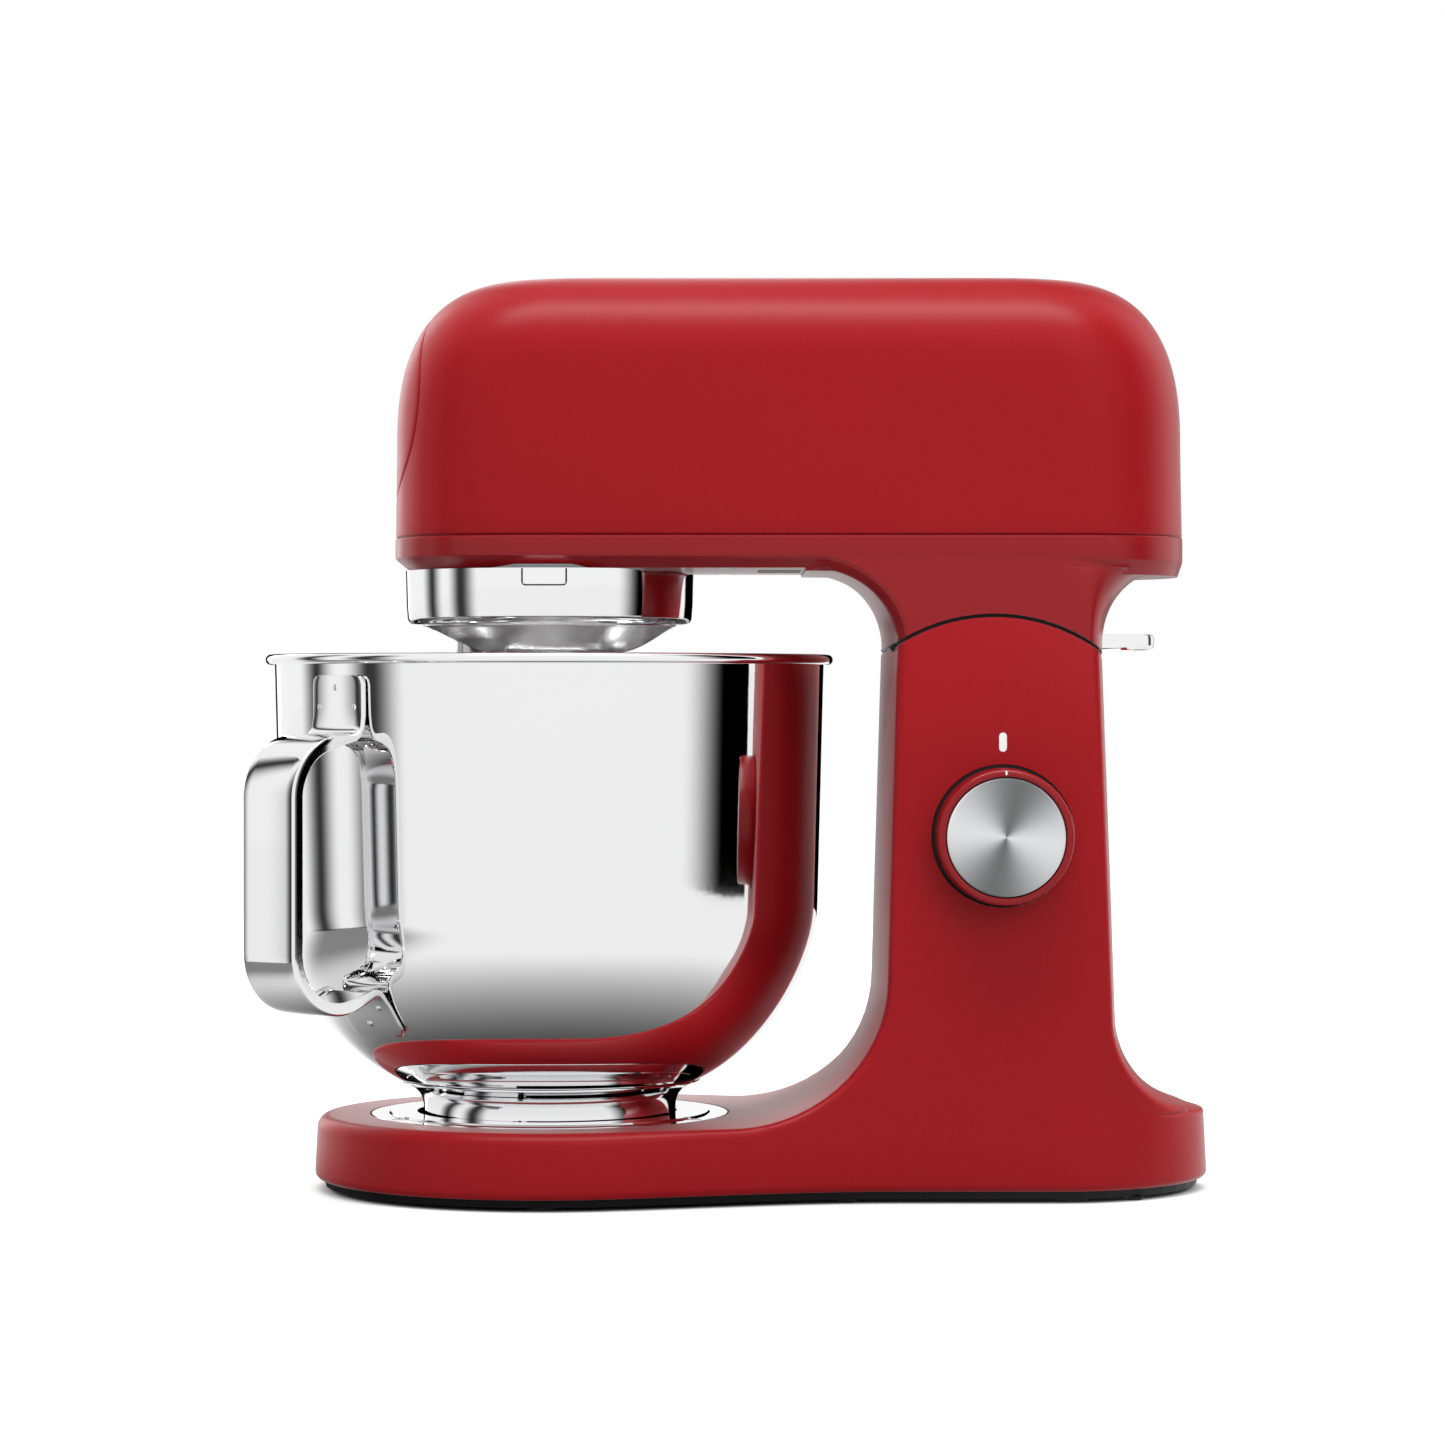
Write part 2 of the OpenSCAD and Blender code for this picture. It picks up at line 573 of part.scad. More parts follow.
module interlock_switch() {
  color([0.10, 0.10, 0.11]) translate([hinge_x - 27, -12, hinge_z + 22]) cube([9, 24, 10]);
  color([0.80, 0.30, 0.15]) translate([hinge_x - 22.5, 0, hinge_z + 31]) cylinder(r = 1.5, h = 3);
  start = column_x(hinge_z + 26) + stand_wall + gap;
  color([0.10, 0.10, 0.11]) translate([start, -4, hinge_z + 24]) cube([hinge_x - 26 - start, 8, 4]);
}
module cord_inlet() {
  color([0.07, 0.07, 0.08]) translate([base_rear - 12, 0, 14]) rotate([0, 90, 0]) {
    tube(inlet_r - 0.05, 3.4, 11);
    tube(inlet_r + 2, 3.4, 2.4);
  }
}

// ---- Head ----
function nose_x(z) = let (u = max(0, (z - (head_top - round_h)) / round_h))
  -nose_reach + 0.4 * min(1, (z - seam_z) / 30) + nose_round * (1 - pow(1 - pow(u, round_n), 1 / round_n));
function tail_x(z) = let (u = max(0, (z - (head_top - round_h)) / round_h))
  tail_reach - 0.6 * min(1, (z - seam_z) / 30) - tail_round * (1 - pow(1 - pow(u, round_n), 1 / round_n));
function cover_hw(z) = let (u = max(0, (z - (head_top - edge_h)) / edge_h))
  top_flat + (head_hw - top_flat) * pow(1 - pow(u, edge_n), 1 / edge_n);
function cover_half(z, d) = let (w = cover_hw(z))
  oval(nose_x(z) + d, tail_x(z) - d, w - d, end_len * (0.3 + 0.7 * w / head_hw) - d, plan_n,
      z - (z > seam_z + 1 ? d : 0));
cover_levels = concat([seam_z, seam_z + 15],
  [for (a = [0 : 9 : 81]) head_top - round_h + round_h * pow(sin(a), 2 / round_n)],
  [head_top - 0.5, head_top]);
cover_screw_places = [[66, 42], [212, 34]];
badge_r = 32.5;
badge_z = 290;
// Layer of the nose between depths d0 and d1 under its surface, within radius r of the disc's axis
module nose_layer(d0, d1, r) {
  intersection() {
    translate([-nose_reach - 5, 0, badge_z]) rotate([0, 90, 0]) cylinder(r = r, h = 40);
    difference() {
      translate([d0, 0, 0]) loft([for (z = cover_levels) cover_half(z, 0)]);
      translate([d1, 0, 0]) loft([for (z = cover_levels) cover_half(z, 0)]);
    }
  }
}
disc_depth = 1.2;
module head_cover() {
  color([0.64, 0.11, 0.13]) difference() {
    shell_loft([for (z = cover_levels) cover_half(z, 0)],
               [for (k = [0, 2, 4, 6, 7, 8, 9, 10, 11, 12, 13]) cover_half(cover_levels[k], cover_wall)]);
    // Shallow round seat of the front disc
    nose_layer(-1, disc_depth, badge_r + 0.4);
  }
}
module badge_disc() {
  color([0.66, 0.12, 0.14]) nose_layer(0, disc_depth - 0.05, badge_r);
}
casing_in = neck_wall;
casing_floor = under_z + floor_t;
function casing_half(z, d, l) = oval(-nose_reach - 0.2 + d, tail_reach + 0.2 - d, head_hw - d,
    end_len - l, plan_n, z);
neck_cz = under_z + 0.2 - neck_fillet;
hollow_front = 34;
hollow_rear = 37;
hollow_hw = head_hw - neck_wall - 5;
neck_front = hinge_x - front_depth + column_lean;
neck_rear = hinge_x + 41.7;
lever_reach = neck_rear + lever_out;
// Half outline of the neck; lf and lr are the lengths of its rounded front and rear
function neck_half(xf, xr, lf, lr, nr, z) = concat(
  [for (i = [0 : end_steps]) let (t = 90 * i / end_steps)
    [xf + lf - lf * pow(cos(t), 2 / column_n), (head_hw - 0.1) * pow(sin(t), 2 / column_n), z]],
  [for (i = [1 : neck_steps]) [xf + lf + (xr - xf - lf - lr) * i / (neck_steps + 1), head_hw - 0.1, z]],
  [for (i = [end_steps : -1 : 0]) let (t = 90 * i / end_steps)
    [xr - lr + lr * pow(cos(t), 2 / nr), (head_hw - 0.1) * pow(sin(t), 2 / nr), z]]);
function neck_curve(a) = let (s = 1 - cos(a), reach = end_len - 3 - column_bulge)
  neck_half(neck_front - neck_fillet * s, neck_rear + rear_sweep * s, column_bulge + toe_round * s,
            column_bulge + reach * s, column_n + (plan_n - column_n) * s, neck_cz + neck_fillet * sin(a));
// Above the toe the front corners run out along the lip
function neck_runout(t) = neck_half(
  neck_front - neck_fillet - 8 * t * t, neck_rear + rear_sweep, column_bulge + toe_round - 16 * t,
  end_len - 3, plan_n, under_z + 0.2 + (lip_z - under_z - 0.3) * t);
toe_round = 13;
neck_steps = 8;
rear_sweep = tail_reach - 5 - neck_rear;
module neck_solid() {
  low = seam_r + seam_gap;
  loft(concat(
    [[for (p = neck_curve(0)) [p[0], p[1], arc_z(p[0], low)]]],
    [for (a = [4.4 : 10.7 : 90.1]) [for (p = neck_curve(a)) [p[0], p[1],
        max(p[2], arc_z(p[0], low) + 0.02 * a)]]],
    [for (t = [0 : 0.25 : 1]) neck_runout(t)]));
}
module head_casing() {
  color([0.56, 0.09, 0.11]) difference() {
    union() {
      loft([casing_half(under_z, lip_w, 0), casing_half(lip_z, 0, 0), casing_half(seam_z - 0.1, 0, 0)]);
      neck_solid();
    }
    // Hollow above the floor
    difference() {
      loft([casing_half(casing_floor, casing_in, 3), casing_half(seam_z + 5, casing_in, 3)]);
      // Screw bosses for the cover
      for (p = cover_screw_places, s = [-1, 1]) translate([p[0], s * p[1], 0])
          cylinder(r = 4.5, h = seam_z - 0.1);
    }
    // Hollow of the neck, open above and below
    translate([hinge_x - hollow_front, -hollow_hw, hinge_z])
      cube([hollow_front + hollow_rear, 2 * hollow_hw, seam_z - hinge_z]);
    // Seat of the planetary hub and its shaft
    translate([0, 0, under_z - 5]) cylinder(r = hub_r - hub_wall - 0.4, h = 6.5);
    translate([0, 0, under_z - 5]) cylinder(r = bearing_r + 0.02, h = 30);
    for (p = cover_screw_places, s = [-1, 1]) translate([p[0], s * p[1], under_z - 20]) {
      cylinder(r = 1.8, h = 60);
      cylinder(r = 4, h = 21.5);
    }
    // Slot of the release lever
    translate([hinge_x + 30, -lever_hw - 0.8, lever_low - 0.6])
        cube([40, 2 * lever_hw + 1.6, lever_t + 6.4]);
    // Slim recess under the head
    translate([slot_x, -slot_w / 2, under_z - 2]) cube([slot_l, slot_w, 3.2]);
    // Lever pin
    rod_y(lever_px, lever_pz, 2 + e, -head_hw + 3, head_hw - 3);
    // Screws of hub and yoke
    for (a = [45 : 90 : 315]) rotate(a) translate([hub_r - 9, 0, under_z - 5]) cylinder(r = 1.55, h = 12);
  }
}
slot_x = 78;
slot_l = 16;
slot_w = 40;
module slot_cover() {
  color([0.14, 0.10, 0.10])
    translate([slot_x + 0.2, -slot_w / 2 + 0.2, under_z + 0.1]) cube([slot_l - 0.4, slot_w - 0.4, 1.05]);
}
module cover_screws() {
  color([0.70, 0.70, 0.72]) for (p = cover_screw_places, s = [-1, 1])
    translate([p[0], s * p[1], under_z]) {
      cylinder(r = 3.2, h = 1.4, $fn = 32);
      cylinder(r = 1.7, h = seam_z - under_z - 0.2);
    }
}
module hub_ring() {
  color([0.82, 0.83, 0.85]) rotate_extrude($fn = 96) polygon(concat(
    [[hub_r - hub_wall, under_z - 0.05], [hub_r, under_z - 0.05]],
    [for (a = [0 : 22.5 : 90]) [hub_r - 3.6 + 3 * cos(a), hub_z + 3 - 3 * sin(a)]],
    [[dome_r + 0.7, hub_z], [dome_r + 0.7, hub_z + 1.4], [hub_r - 3.6, hub_z + 1.6],
        [hub_r - hub_wall - 0.6, hub_z + 4]]));
}
catch_half = 8.1;
catch_z = under_z - 5.9;
module hub_catch() {
  color([0.74, 0.75, 0.77])
    sector(hub_r + 0.05, hub_r + 0.85, catch_z, under_z - 0.3, 270 - catch_half, 270 + catch_half);
}
yoke_plate_z = casing_floor + 0.1;
arm_w = 10;
module hinge_yoke() {
  color([0.45, 0.46, 0.48]) difference() {
    union() {
      for (s = [-1, 1])
        translate([hinge_x, s * arm_y + arm_t / 2, hinge_z]) rotate([90, 0, 0]) linear_extrude(arm_t)
          intersection() {
            union() {
              circle(pin_r + 4.5);
              rotate(arm_angle - 90) translate([-arm_w / 2, 0]) square([arm_w, 110]);
            }
            translate([-80, -20]) square([160, yoke_plate_z - hinge_z + 20 + 4]);
          }
      translate([yoke_x, -arm_y - arm_t / 2, yoke_plate_z]) cube([yoke_l, 2 * arm_y + arm_t, 4]);
    }
    rod_y(hinge_x, hinge_z, pin_r, -60, 60);
    for (x = yoke_screw_x, s = [-1, 1])
      translate([x, s * arm_y, yoke_plate_z - 1]) cylinder(r = 2.1, h = 6);
  }
}
yoke_x = hinge_x - 45;
yoke_l = 31;
yoke_screw_x = [yoke_x + 5, yoke_x + 11];
module yoke_screws() {
  color([0.70, 0.70, 0.72]) for (x = yoke_screw_x, s = [-1, 1])
    translate([x, s * arm_y, yoke_plate_z + 4.05]) {
      translate([0, 0, -4.1]) cylinder(r = 2, h = 4.2);
      cylinder(r = 2.9, h = 2, $fn = 32);
    }
}
module hinge_pin() {
  color([0.70, 0.71, 0.73]) rod_y(hinge_x, hinge_z, pin_r - e, -pin_end + 0.3, pin_end - 0.3);
}

// ---- Release lever ----
lever_px = hinge_x + 24;
lever_clear = seam_r + 1.2;
lever_z = arc_z(hinge_x + 37.5, lever_clear) + lever_t / 2;
lever_pz = lever_z + 10.45;
lever_low = lever_z - lever_t / 2;
lever_top = lever_z + lever_t / 2;
module release_lever() {
  // The underside keeps clear of the column's curved top
  under = [for (x = [lever_px + 2 : 3 : lever_px + 15]) [x, max(lever_low, arc_z(x, lever_clear))]];
  color([0.80, 0.81, 0.83]) difference() {
    union() {
      translate([0, lever_hw, 0]) rotate([90, 0, 0]) linear_extrude(2 * lever_hw) polygon(concat(
        under, [[lever_reach - lever_t / 2, lever_low], [lever_reach - lever_t / 2, lever_top],
        [lever_px + 17, lever_top], [lever_px + 12, lever_top + 3.5], [lever_px + 6, lever_pz + 2.5],
            [lever_px, lever_pz + 4]]));
      rod_y(lever_reach - lever_t / 2, lever_z, lever_t / 2, -lever_hw, lever_hw);
      rod_y(lever_px, lever_pz, 4.6, -lever_hw, lever_hw);
    }
    rod_y(lever_px, lever_pz, 2 + fit, -lever_hw - 1, lever_hw + 1);
  }
}
module lever_pin() {
  color([0.70, 0.71, 0.73]) rod_y(lever_px, lever_pz, 2, -head_hw + 3.1, head_hw - 3.1);
}
module lever_spring() {
  color([0.60, 0.61, 0.63]) for (s = [-1, 1])
    translate([lever_px, s > 0 ? lever_hw + 0.5 : -lever_hw - 6.5, lever_pz]) rotate([-90, 0, 0])
      for (k = [0 : 3]) translate([0, 0, 0.8 + 1.5 * k]) rotate_extrude() translate([3.2, 0])
          circle(r = 0.7, $fn = 16);
}

// ---- Drive ----
ring_low = under_z - 9;
bearing_r = 13;
main_z = casing_floor + 11;
gear_h = 9;
case_r = main_module * (main_teeth / 2 + 1) + 3.5;
case_top = main_z + gear_h + 4;
lid_t = 4;
belt_h = 8;
module ring_gear() {
  color([0.30, 0.31, 0.33]) translate([0, 0, ring_low]) difference() {
    cylinder(r = hub_r - hub_wall - 0.9, h = 10.4);
    translate([0, 0, -e]) linear_extrude(11)
      gear_outline(ring_module, ring_teeth, backlash / 2, 1.2 * ring_module, 0.85 * ring_module);
  }
}
dome_low = hub_z - 10.5;
// The hub's lower face is a shallow dome that turns with the tool
module planet_carrier() {
  color([0.62, 0.60, 0.58]) difference() {
    union() {
      rotate_extrude($fn = 96) polygon(concat(
        [[0, hub_z + 4], [dome_r, hub_z + 4], [dome_r, hub_z - 0.4]],
        [for (t = [0.1 : 0.15 : 1]) [dome_r + (25 - dome_r) * t,
            hub_z - 0.4 - 10.1 * pow(sin(90 * t), 1.2)]],
        [[24, dome_low], [0, dome_low]]));
      translate([-orbit, 0, hub_z + 3]) cylinder(r = spindle_r + 5, h = 5);
    }
    translate([-orbit, 0, dome_low - 1]) cylinder(r = spindle_r + fit, h = 40);
    translate([-orbit, 0, dome_low - 1]) cylinder(r = collar_r + 1.2, h = 5);
    translate([0, 0, hub_z]) cylinder(r = shaft_r, h = 10);
    // Hollow on the side away from the tool
    translate([0, 0, dome_low + 3]) intersection() {
      tube(dome_r - 8, shaft_r + 6, 20);
      translate([4, -dome_r, 0]) cube([dome_r, 2 * dome_r, 7.4]);
    }
  }
}
shaft_r = 6;
module carrier_shaft() {
  color([0.70, 0.71, 0.73]) translate([0, 0, hub_z + 0.05])
      cylinder(r = shaft_r - e, h = case_top + lid_t - hub_z - 0.5);
}
module main_gear() {
  color([0.75, 0.70, 0.55]) translate([0, 0, main_z]) difference() {
    union() {
      spur(main_module, main_teeth, gear_h, shaft_r);
      translate([0, 0, gear_h - e]) tube(shaft_r + 4, shaft_r, 2.5);
    }
    for (a = [30 : 60 : 330]) rotate(a) translate([21, 0, -e]) cylinder(r = 6, h = 20);
  }
}
module planet_gear() {
  color([0.55, 0.56, 0.58]) translate([-orbit, 0, ring_low + 1.2])
    spur(ring_module, planet_teeth, 7.6, spindle_r);
}
collar_top = dome_low - 0.6;
spindle_low = collar_top - 22;
module tool_spindle() {
  color([0.68, 0.69, 0.71]) translate([-orbit, 0, 0]) difference() {
    translate([0, 0, spindle_low + 1]) cylinder(r = spindle_r - e, h = ring_low + 8.8 - spindle_low - 1);
    rod_y(0, collar_top - 9, 1.6, -20, 20);
  }
}
module drive_pin() {
  color([0.60, 0.61, 0.63]) rod_y(-orbit, collar_top - 9, 1.6 - e, -collar_r + 2.5, collar_r - 2.5);
}
// Outer bowl radius at height z, on its round bottom
belly_n = 1.85;
function bowl_r(z) = z >= belly_z ? belly_r + (wall_r - belly_r) * (z - belly_z) / (rim_z - bead_r - belly_z)
  : bottom_r + (belly_r - bottom_r) * pow(1 - pow((belly_z - z) / (belly_z - bowl_z), belly_n),
      1 / belly_n);
beater_low = bowl_z + bowl_t + 4.5;
beater_top = spindle_low - 9;
function beater_hw(z) = bowl_r(z) - bowl_t - orbit - beater_gap - 1.5;
beater_levels = [for (k = [0 : 10]) beater_low + (beater_top - 26 - beater_low) * pow(k / 10, 1.6)];
module beater_outline() {
  side = concat([for (z = beater_levels) [beater_hw(z), z]],
                [for (a = [0 : 15 : 75]) [beater_hw(beater_top) - 26 + 26 * cos(a) - 12 * sin(a),
                    beater_top - 26 + 26 * sin(a)]]);
  polygon(concat([for (p = side) p], [for (k = [len(side) - 1 : -1 : 0]) [-side[k][0], side[k][1]]]));
}
bar = 8;
module beater() {
  color([0.80, 0.80, 0.79]) translate([-orbit, 0, 0]) difference() {
    union() {
      rotate([90, 0, 90]) translate([0, 0, -beater_t / 2]) linear_extrude(beater_t) {
        difference() {
          beater_outline();
          offset(delta = -bar) beater_outline();
        }
        // K-shaped inner bars
        intersection() {
          beater_outline();
          union() {
            translate([-bar / 2, beater_low]) square([bar, beater_top - beater_low]);
            translate([0, 100]) rotate(38) square([90, bar]);
            translate([0, 100]) rotate(-38) translate([0, -bar]) square([90, bar]);
          }
        }
      }
      translate([0, 0, beater_top - 12]) cylinder(r1 = 6.5, r2 = collar_r - 2,
          h = spindle_low - beater_top + 12.1);
      translate([0, 0, spindle_low]) cylinder(r = collar_r, h = collar_top - spindle_low);
    }
    translate([0, 0, spindle_low + 0.95]) cylinder(r = spindle_r + 0.02, h = 40);
    // Slot that drops over the drive pin
    translate([-1.65, -collar_r + 2.4, collar_top - 10.65]) cube([3.3, 2 * collar_r - 4.8, 12]);
  }
}
module gearbox_shape(d) {
  circle(r = case_r - d);
  translate([jack_x, 0]) circle(r = main_module * (pinion_teeth / 2 + 1) + 7 - d);
}
module gearbox_case() {
  color([0.62, 0.63, 0.65]) translate([0, 0, casing_floor + 0.05]) difference() {
    linear_extrude(case_top - casing_floor - 0.1) gearbox_shape(0);
    translate([0, 0, 3]) linear_extrude(60) gearbox_shape(2.6);
    translate([0, 0, -1]) cylinder(r = bearing_r + 0.02, h = 20);
    translate([jack_x, 0, -1]) cylinder(r = 4 + fit, h = 20);
  }
}
module gearbox_lid() {
  color([0.66, 0.67, 0.69]) translate([0, 0, case_top]) difference() {
    union() {
      linear_extrude(lid_t) gearbox_shape(0);
      translate([jack_x, 0, 0]) cylinder(r = 9, h = 12);
    }
    translate([0, 0, -1]) cylinder(r = shaft_r + fit, h = 20);
    translate([jack_x, 0, -1]) cylinder(r = 4 + fit, h = 20);
  }
}
module shaft_bearings() {
  color([0.78, 0.79, 0.80]) for (z = [under_z + 1.6, casing_floor + 2])
    translate([0, 0, z]) tube(bearing_r, shaft_r + fit, 5);
}
module jackshaft() {
  color([0.70, 0.71, 0.73]) translate([jack_x, 0, casing_floor + 0.2])
      cylinder(r = 4, h = belt_z + belt_h + 3 - casing_floor);
}
module pinion() {
  color([0.55, 0.56, 0.58]) translate([jack_x, 0, main_z]) rotate(180 / pinion_teeth)
    spur(main_module, pinion_teeth, gear_h, 4 + e);
}
module flanged_pulley(r, bore) {
  difference() {
    union() {
      cylinder(r = r, h = belt_h);
      for (z = [-1.5, belt_h]) translate([0, 0, z]) cylinder(r = r + 2.2, h = 1.5);
    }
    translate([0, 0, -5]) cylinder(r = bore + e, h = belt_h + 10);
  }
}
module large_pulley() {
  color([0.24, 0.25, 0.27]) translate([jack_x, 0, belt_z]) difference() {
    flanged_pulley(pulley_r, 4);
    for (a = [0 : 60 : 300]) rotate(a) translate([16, 0, -5]) cylinder(r = 5, h = belt_h + 10);
  }
}
belt_t = 1.6;
module belt_loop(d) {
  hull() {
    translate([jack_x, 0]) circle(r = pulley_r + gap + d, $fn = 72);
    translate([motor_x, 0]) circle(r = drive_r + gap + d, $fn = 36);
  }
}
module drive_belt() {
  color([0.09, 0.09, 0.10]) translate([0, 0, belt_z + 0.4]) linear_extrude(belt_h - 0.8) difference() {
    belt_loop(belt_t);
    belt_loop(0);
  }
}
motor_z = casing_floor + 8;
belt_z = motor_z + motor_h + 4;
motor_shaft_r = 3;
motor_wall = 2.5;
core_r = motor_r - 21;
core_h = motor_h - 34;
module motor_body() {
  color([0.40, 0.41, 0.43]) translate([motor_x, 0, motor_z]) difference() {
    union() {
      cylinder(r = motor_r, h = motor_h - 8);
      cylinder(r = motor_r - 10, h = motor_h);
    }
    translate([0, 0, motor_wall]) cylinder(r = motor_r - 8, h = motor_h - 2 * motor_wall - 8);
    translate([0, 0, -1]) cylinder(r = 6.02, h = motor_h + 2);
    for (a = [22.5 : 45 : 360]) rotate(a) translate([motor_r - 12, 0, -1]) cylinder(r = 2.5, h = 5);
  }
}
module motor_bearings() {
  color([0.78, 0.79, 0.80]) for (z = [0, motor_h - 5])
    translate([motor_x, 0, motor_z + z]) tube(6, motor_shaft_r + fit, 5);
}
module motor_bracket() {
  color([0.50, 0.51, 0.53]) for (a = [105, 150, 210, 255]) translate([motor_x, 0, 0]) rotate(a)
    translate([motor_r - 7, -5, casing_floor + 0.05]) cube([8, 10, motor_z - casing_floor - 0.1]);
}
module motor_shaft() {
  color([0.70, 0.71, 0.73]) translate([motor_x, 0, motor_z - 3])
      cylinder(r = motor_shaft_r, h = belt_z + belt_h + 3 - motor_z + 3);
}
module armature() {
  color([0.60, 0.38, 0.20]) translate([motor_x, 0, motor_z + motor_h / 5]) difference() {
    cylinder(r = core_r, h = core_h);
    translate([0, 0, -1]) cylinder(r = motor_shaft_r + e, h = core_h + 2);
    for (a = [0 : 45 : 315]) rotate(a) translate([core_r - 3, -1.2, -1]) cube([6, 2.4, core_h + 2]);
  }
}
module motor_pulley() {
  color([0.24, 0.25, 0.27]) translate([motor_x, 0, belt_z]) flanged_pulley(drive_r, motor_shaft_r);
}
module cooling_fan() {
  color([0.16, 0.16, 0.18]) translate([motor_x, 0, motor_z + motor_h * 2 / 3]) difference() {
    union() {
      cylinder(r = drive_r, h = 5);
      for (a = [0 : 40 : 320]) rotate(a) translate([4, -0.8, 0]) cube([motor_r - 16, 1.6, 5]);
    }
    translate([0, 0, -1]) cylinder(r = motor_shaft_r + e, h = 10);
  }
}

// ---- Control knob ----
module knob_body() {
  base = side_y(knob_z) - recess_d + 1.2 + 0.4;
  color([0.62, 0.09, 0.11]) translate([knob_x, 0, knob_z]) rotate([90, 0, 0]) difference() {
    rotate_extrude($fn = 96) polygon([
      [0, base], [knob_r - 0.6, base], [knob_r, base + 0.6], [knob_r - 0.3, knob_face - 1.2],
      [knob_r - 1.2, knob_face - 0.3], [cap_r + 0.3, knob_face - 0.6], [cap_r + 0.3, knob_face - 3],
          [0, knob_face - 3]]);
    translate([0, 0, base - 1]) cylinder(r = 3 + e, h = knob_face - base - 4);
  }
}
module knob_cap() {
  color([0.80, 0.80, 0.80]) translate([knob_x, 0, knob_z]) rotate([90, 0, 0]) rotate_extrude($fn = 96)
    polygon([[0, knob_face - 2.95], [cap_r, knob_face - 2.95], [cap_r, knob_face - 0.5],
        [cap_r - 0.5, knob_face], [0, knob_face]]);
}
module knob_shaft() {
  color([0.70, 0.71, 0.73]) rod_y(knob_x, knob_z, 3, -knob_face + 5.2, -side_y(knob_z) + stand_wall + 8);
}

// ---- Bowl ----
bowl_levels = [for (k = [0 : 14]) bowl_z + (belly_z - bowl_z) * pow(k / 14, 1.7)];
// Wall points of the bowl from the bottom up, moved inwards by d
function bowl_wall(d) = concat(
  [for (z = bowl_levels) [bowl_r(z) - d * (0.2 + 0.8 * min(1, (z - bowl_z) / 40)),
      z + d * max(0, 1 - (z - bowl_z) / 40)]],
  [[wall_r - d, rim_z - bead_r]]);
rivet_r = 2;
upper_rivets = [[0, plate_top - 4.3], [-5.2, plate_top - 11.4], [5.2, plate_top - 11.4]];
lower_rivets = [[-6.5, arm_bottom + 1.7], [6.5, arm_bottom + 1.7], [0, arm_bottom - 5]];
// Puts a radial cylinder at compass angle a (from the handle) and height z, through the bowl's wall
module at_wall(a, z, r) {
  lean = z > belly_z ? 0 : atan((bowl_r(z + 1) - bowl_r(z - 1)) / 2);
  rotate(handle_angle + a) translate([r, 0, z]) rotate([0, 90 + lean, 0]) children();
}
module rivet_holes(r) {
  for (p = concat(upper_rivets, lower_rivets))
    at_wall(p[0], p[1], bowl_r(p[1]) + 0.2) translate([0, 0, -8]) cylinder(r = r, h = 18);
}
module bowl_shell() {
  inner = bowl_wall(bowl_t);
  color([0.80, 0.81, 0.83]) difference() {
    union() {
      rotate_extrude($fn = 128) polygon(concat([[0, bowl_z]], bowl_wall(0),
        [for (k = [len(inner) - 1 : -1 : 0]) inner[k]], [[0, bowl_z + bowl_t]]));
      translate([0, 0, rim_z - bead_r]) rotate_extrude($fn = 128)
        translate([rim_r - bead_r, 0]) circle(r = bead_r, $fn = 32);
      translate([0, 0, rim_z - bead_r]) tube(rim_r - bead_r, wall_r - bowl_t, bead_r);
    }
    rivet_holes(rivet_r + 0.05);
  }
}
foot_top_r = ring_r + 9.4;
// Height of the bowl's outer surface at radius r, on its round bottom
function bowl_under(r) = belly_z - (belly_z - bowl_z)
  * pow(1 - pow((r - bottom_r) / (belly_r - bottom_r), belly_n), 1 / belly_n);
foot_low = cup_floor + gap;
// Point at radius r, by drop under the bowl's outer surface
function under_bowl(r, drop) = [r, bowl_under(r) - 0.15 - drop];
module bowl_foot() {
  inner_r = ring_r - 1.6;
  color([0.84, 0.85, 0.86]) union() {
    rotate_extrude($fn = 96) polygon([
      [ring_r, foot_low], under_bowl(ring_r, 7.7), under_bowl(ring_r + 0.3, 4.8),
          under_bowl(ring_r + 1.2, 2.2),
      under_bowl(ring_r + 3, 0.45), under_bowl(foot_top_r - 0.8, 0.3),
      under_bowl(foot_top_r, 0), under_bowl(foot_top_r - 3, 0), under_bowl(foot_top_r - 6, 0),
      under_bowl(inner_r + 2, 1.6), under_bowl(inner_r + 0.6, 4.2), under_bowl(inner_r, 7.6),
          [inner_r, foot_low]]);
    for (a = [0 : 120 : 240])
      sector(ring_r - 0.5, lug_r, foot_low + 0.4, tab_low - 0.3, a - lug_half, a + lug_half);
  }
}
// Centre line of the strap in the plane of the handle: [radius, height]
grip_c = grip_r - strap_t / 2 - strap_bend;
small_bend = 4;
plate_c = wall_r + strap_t / 2 + 0.1;
low_turn = 111;
strap_end = arm_bottom + 6.7;
function strap_line() = concat(
  [[plate_c, arm_top + small_bend + 3]],
  [for (a = [180 : 15 : 270]) [plate_c + small_bend + small_bend * cos(a),
      arm_top + small_bend + small_bend * sin(a)]],
  [for (a = [90 : -7.5 : 0]) [grip_c + strap_bend * cos(a), arm_top - strap_bend + strap_bend * sin(a)]],
  [for (a = [0 : -7.4 : -low_turn]) [grip_c + strap_bend * cos(a),
      arm_bottom + strap_bend + strap_bend * sin(a)]],
  [[bowl_r(strap_end) + 1.5, strap_end]]);
function normal_at(p, i) = let (
    a = p[max(0, i - 1)], b = p[min(len(p) - 1, i + 1)], d = b - a, l = norm(d)) [-d[1] / l, d[0] / l];
function offset_line(p, d) = [for (i = [0 : len(p) - 1]) p[i] + d * normal_at(p, i)];
lower_levels = [for (k = [0 : 4]) arm_bottom - 9.5 + 17.5 * k / 4];
plate_half = 7.8;
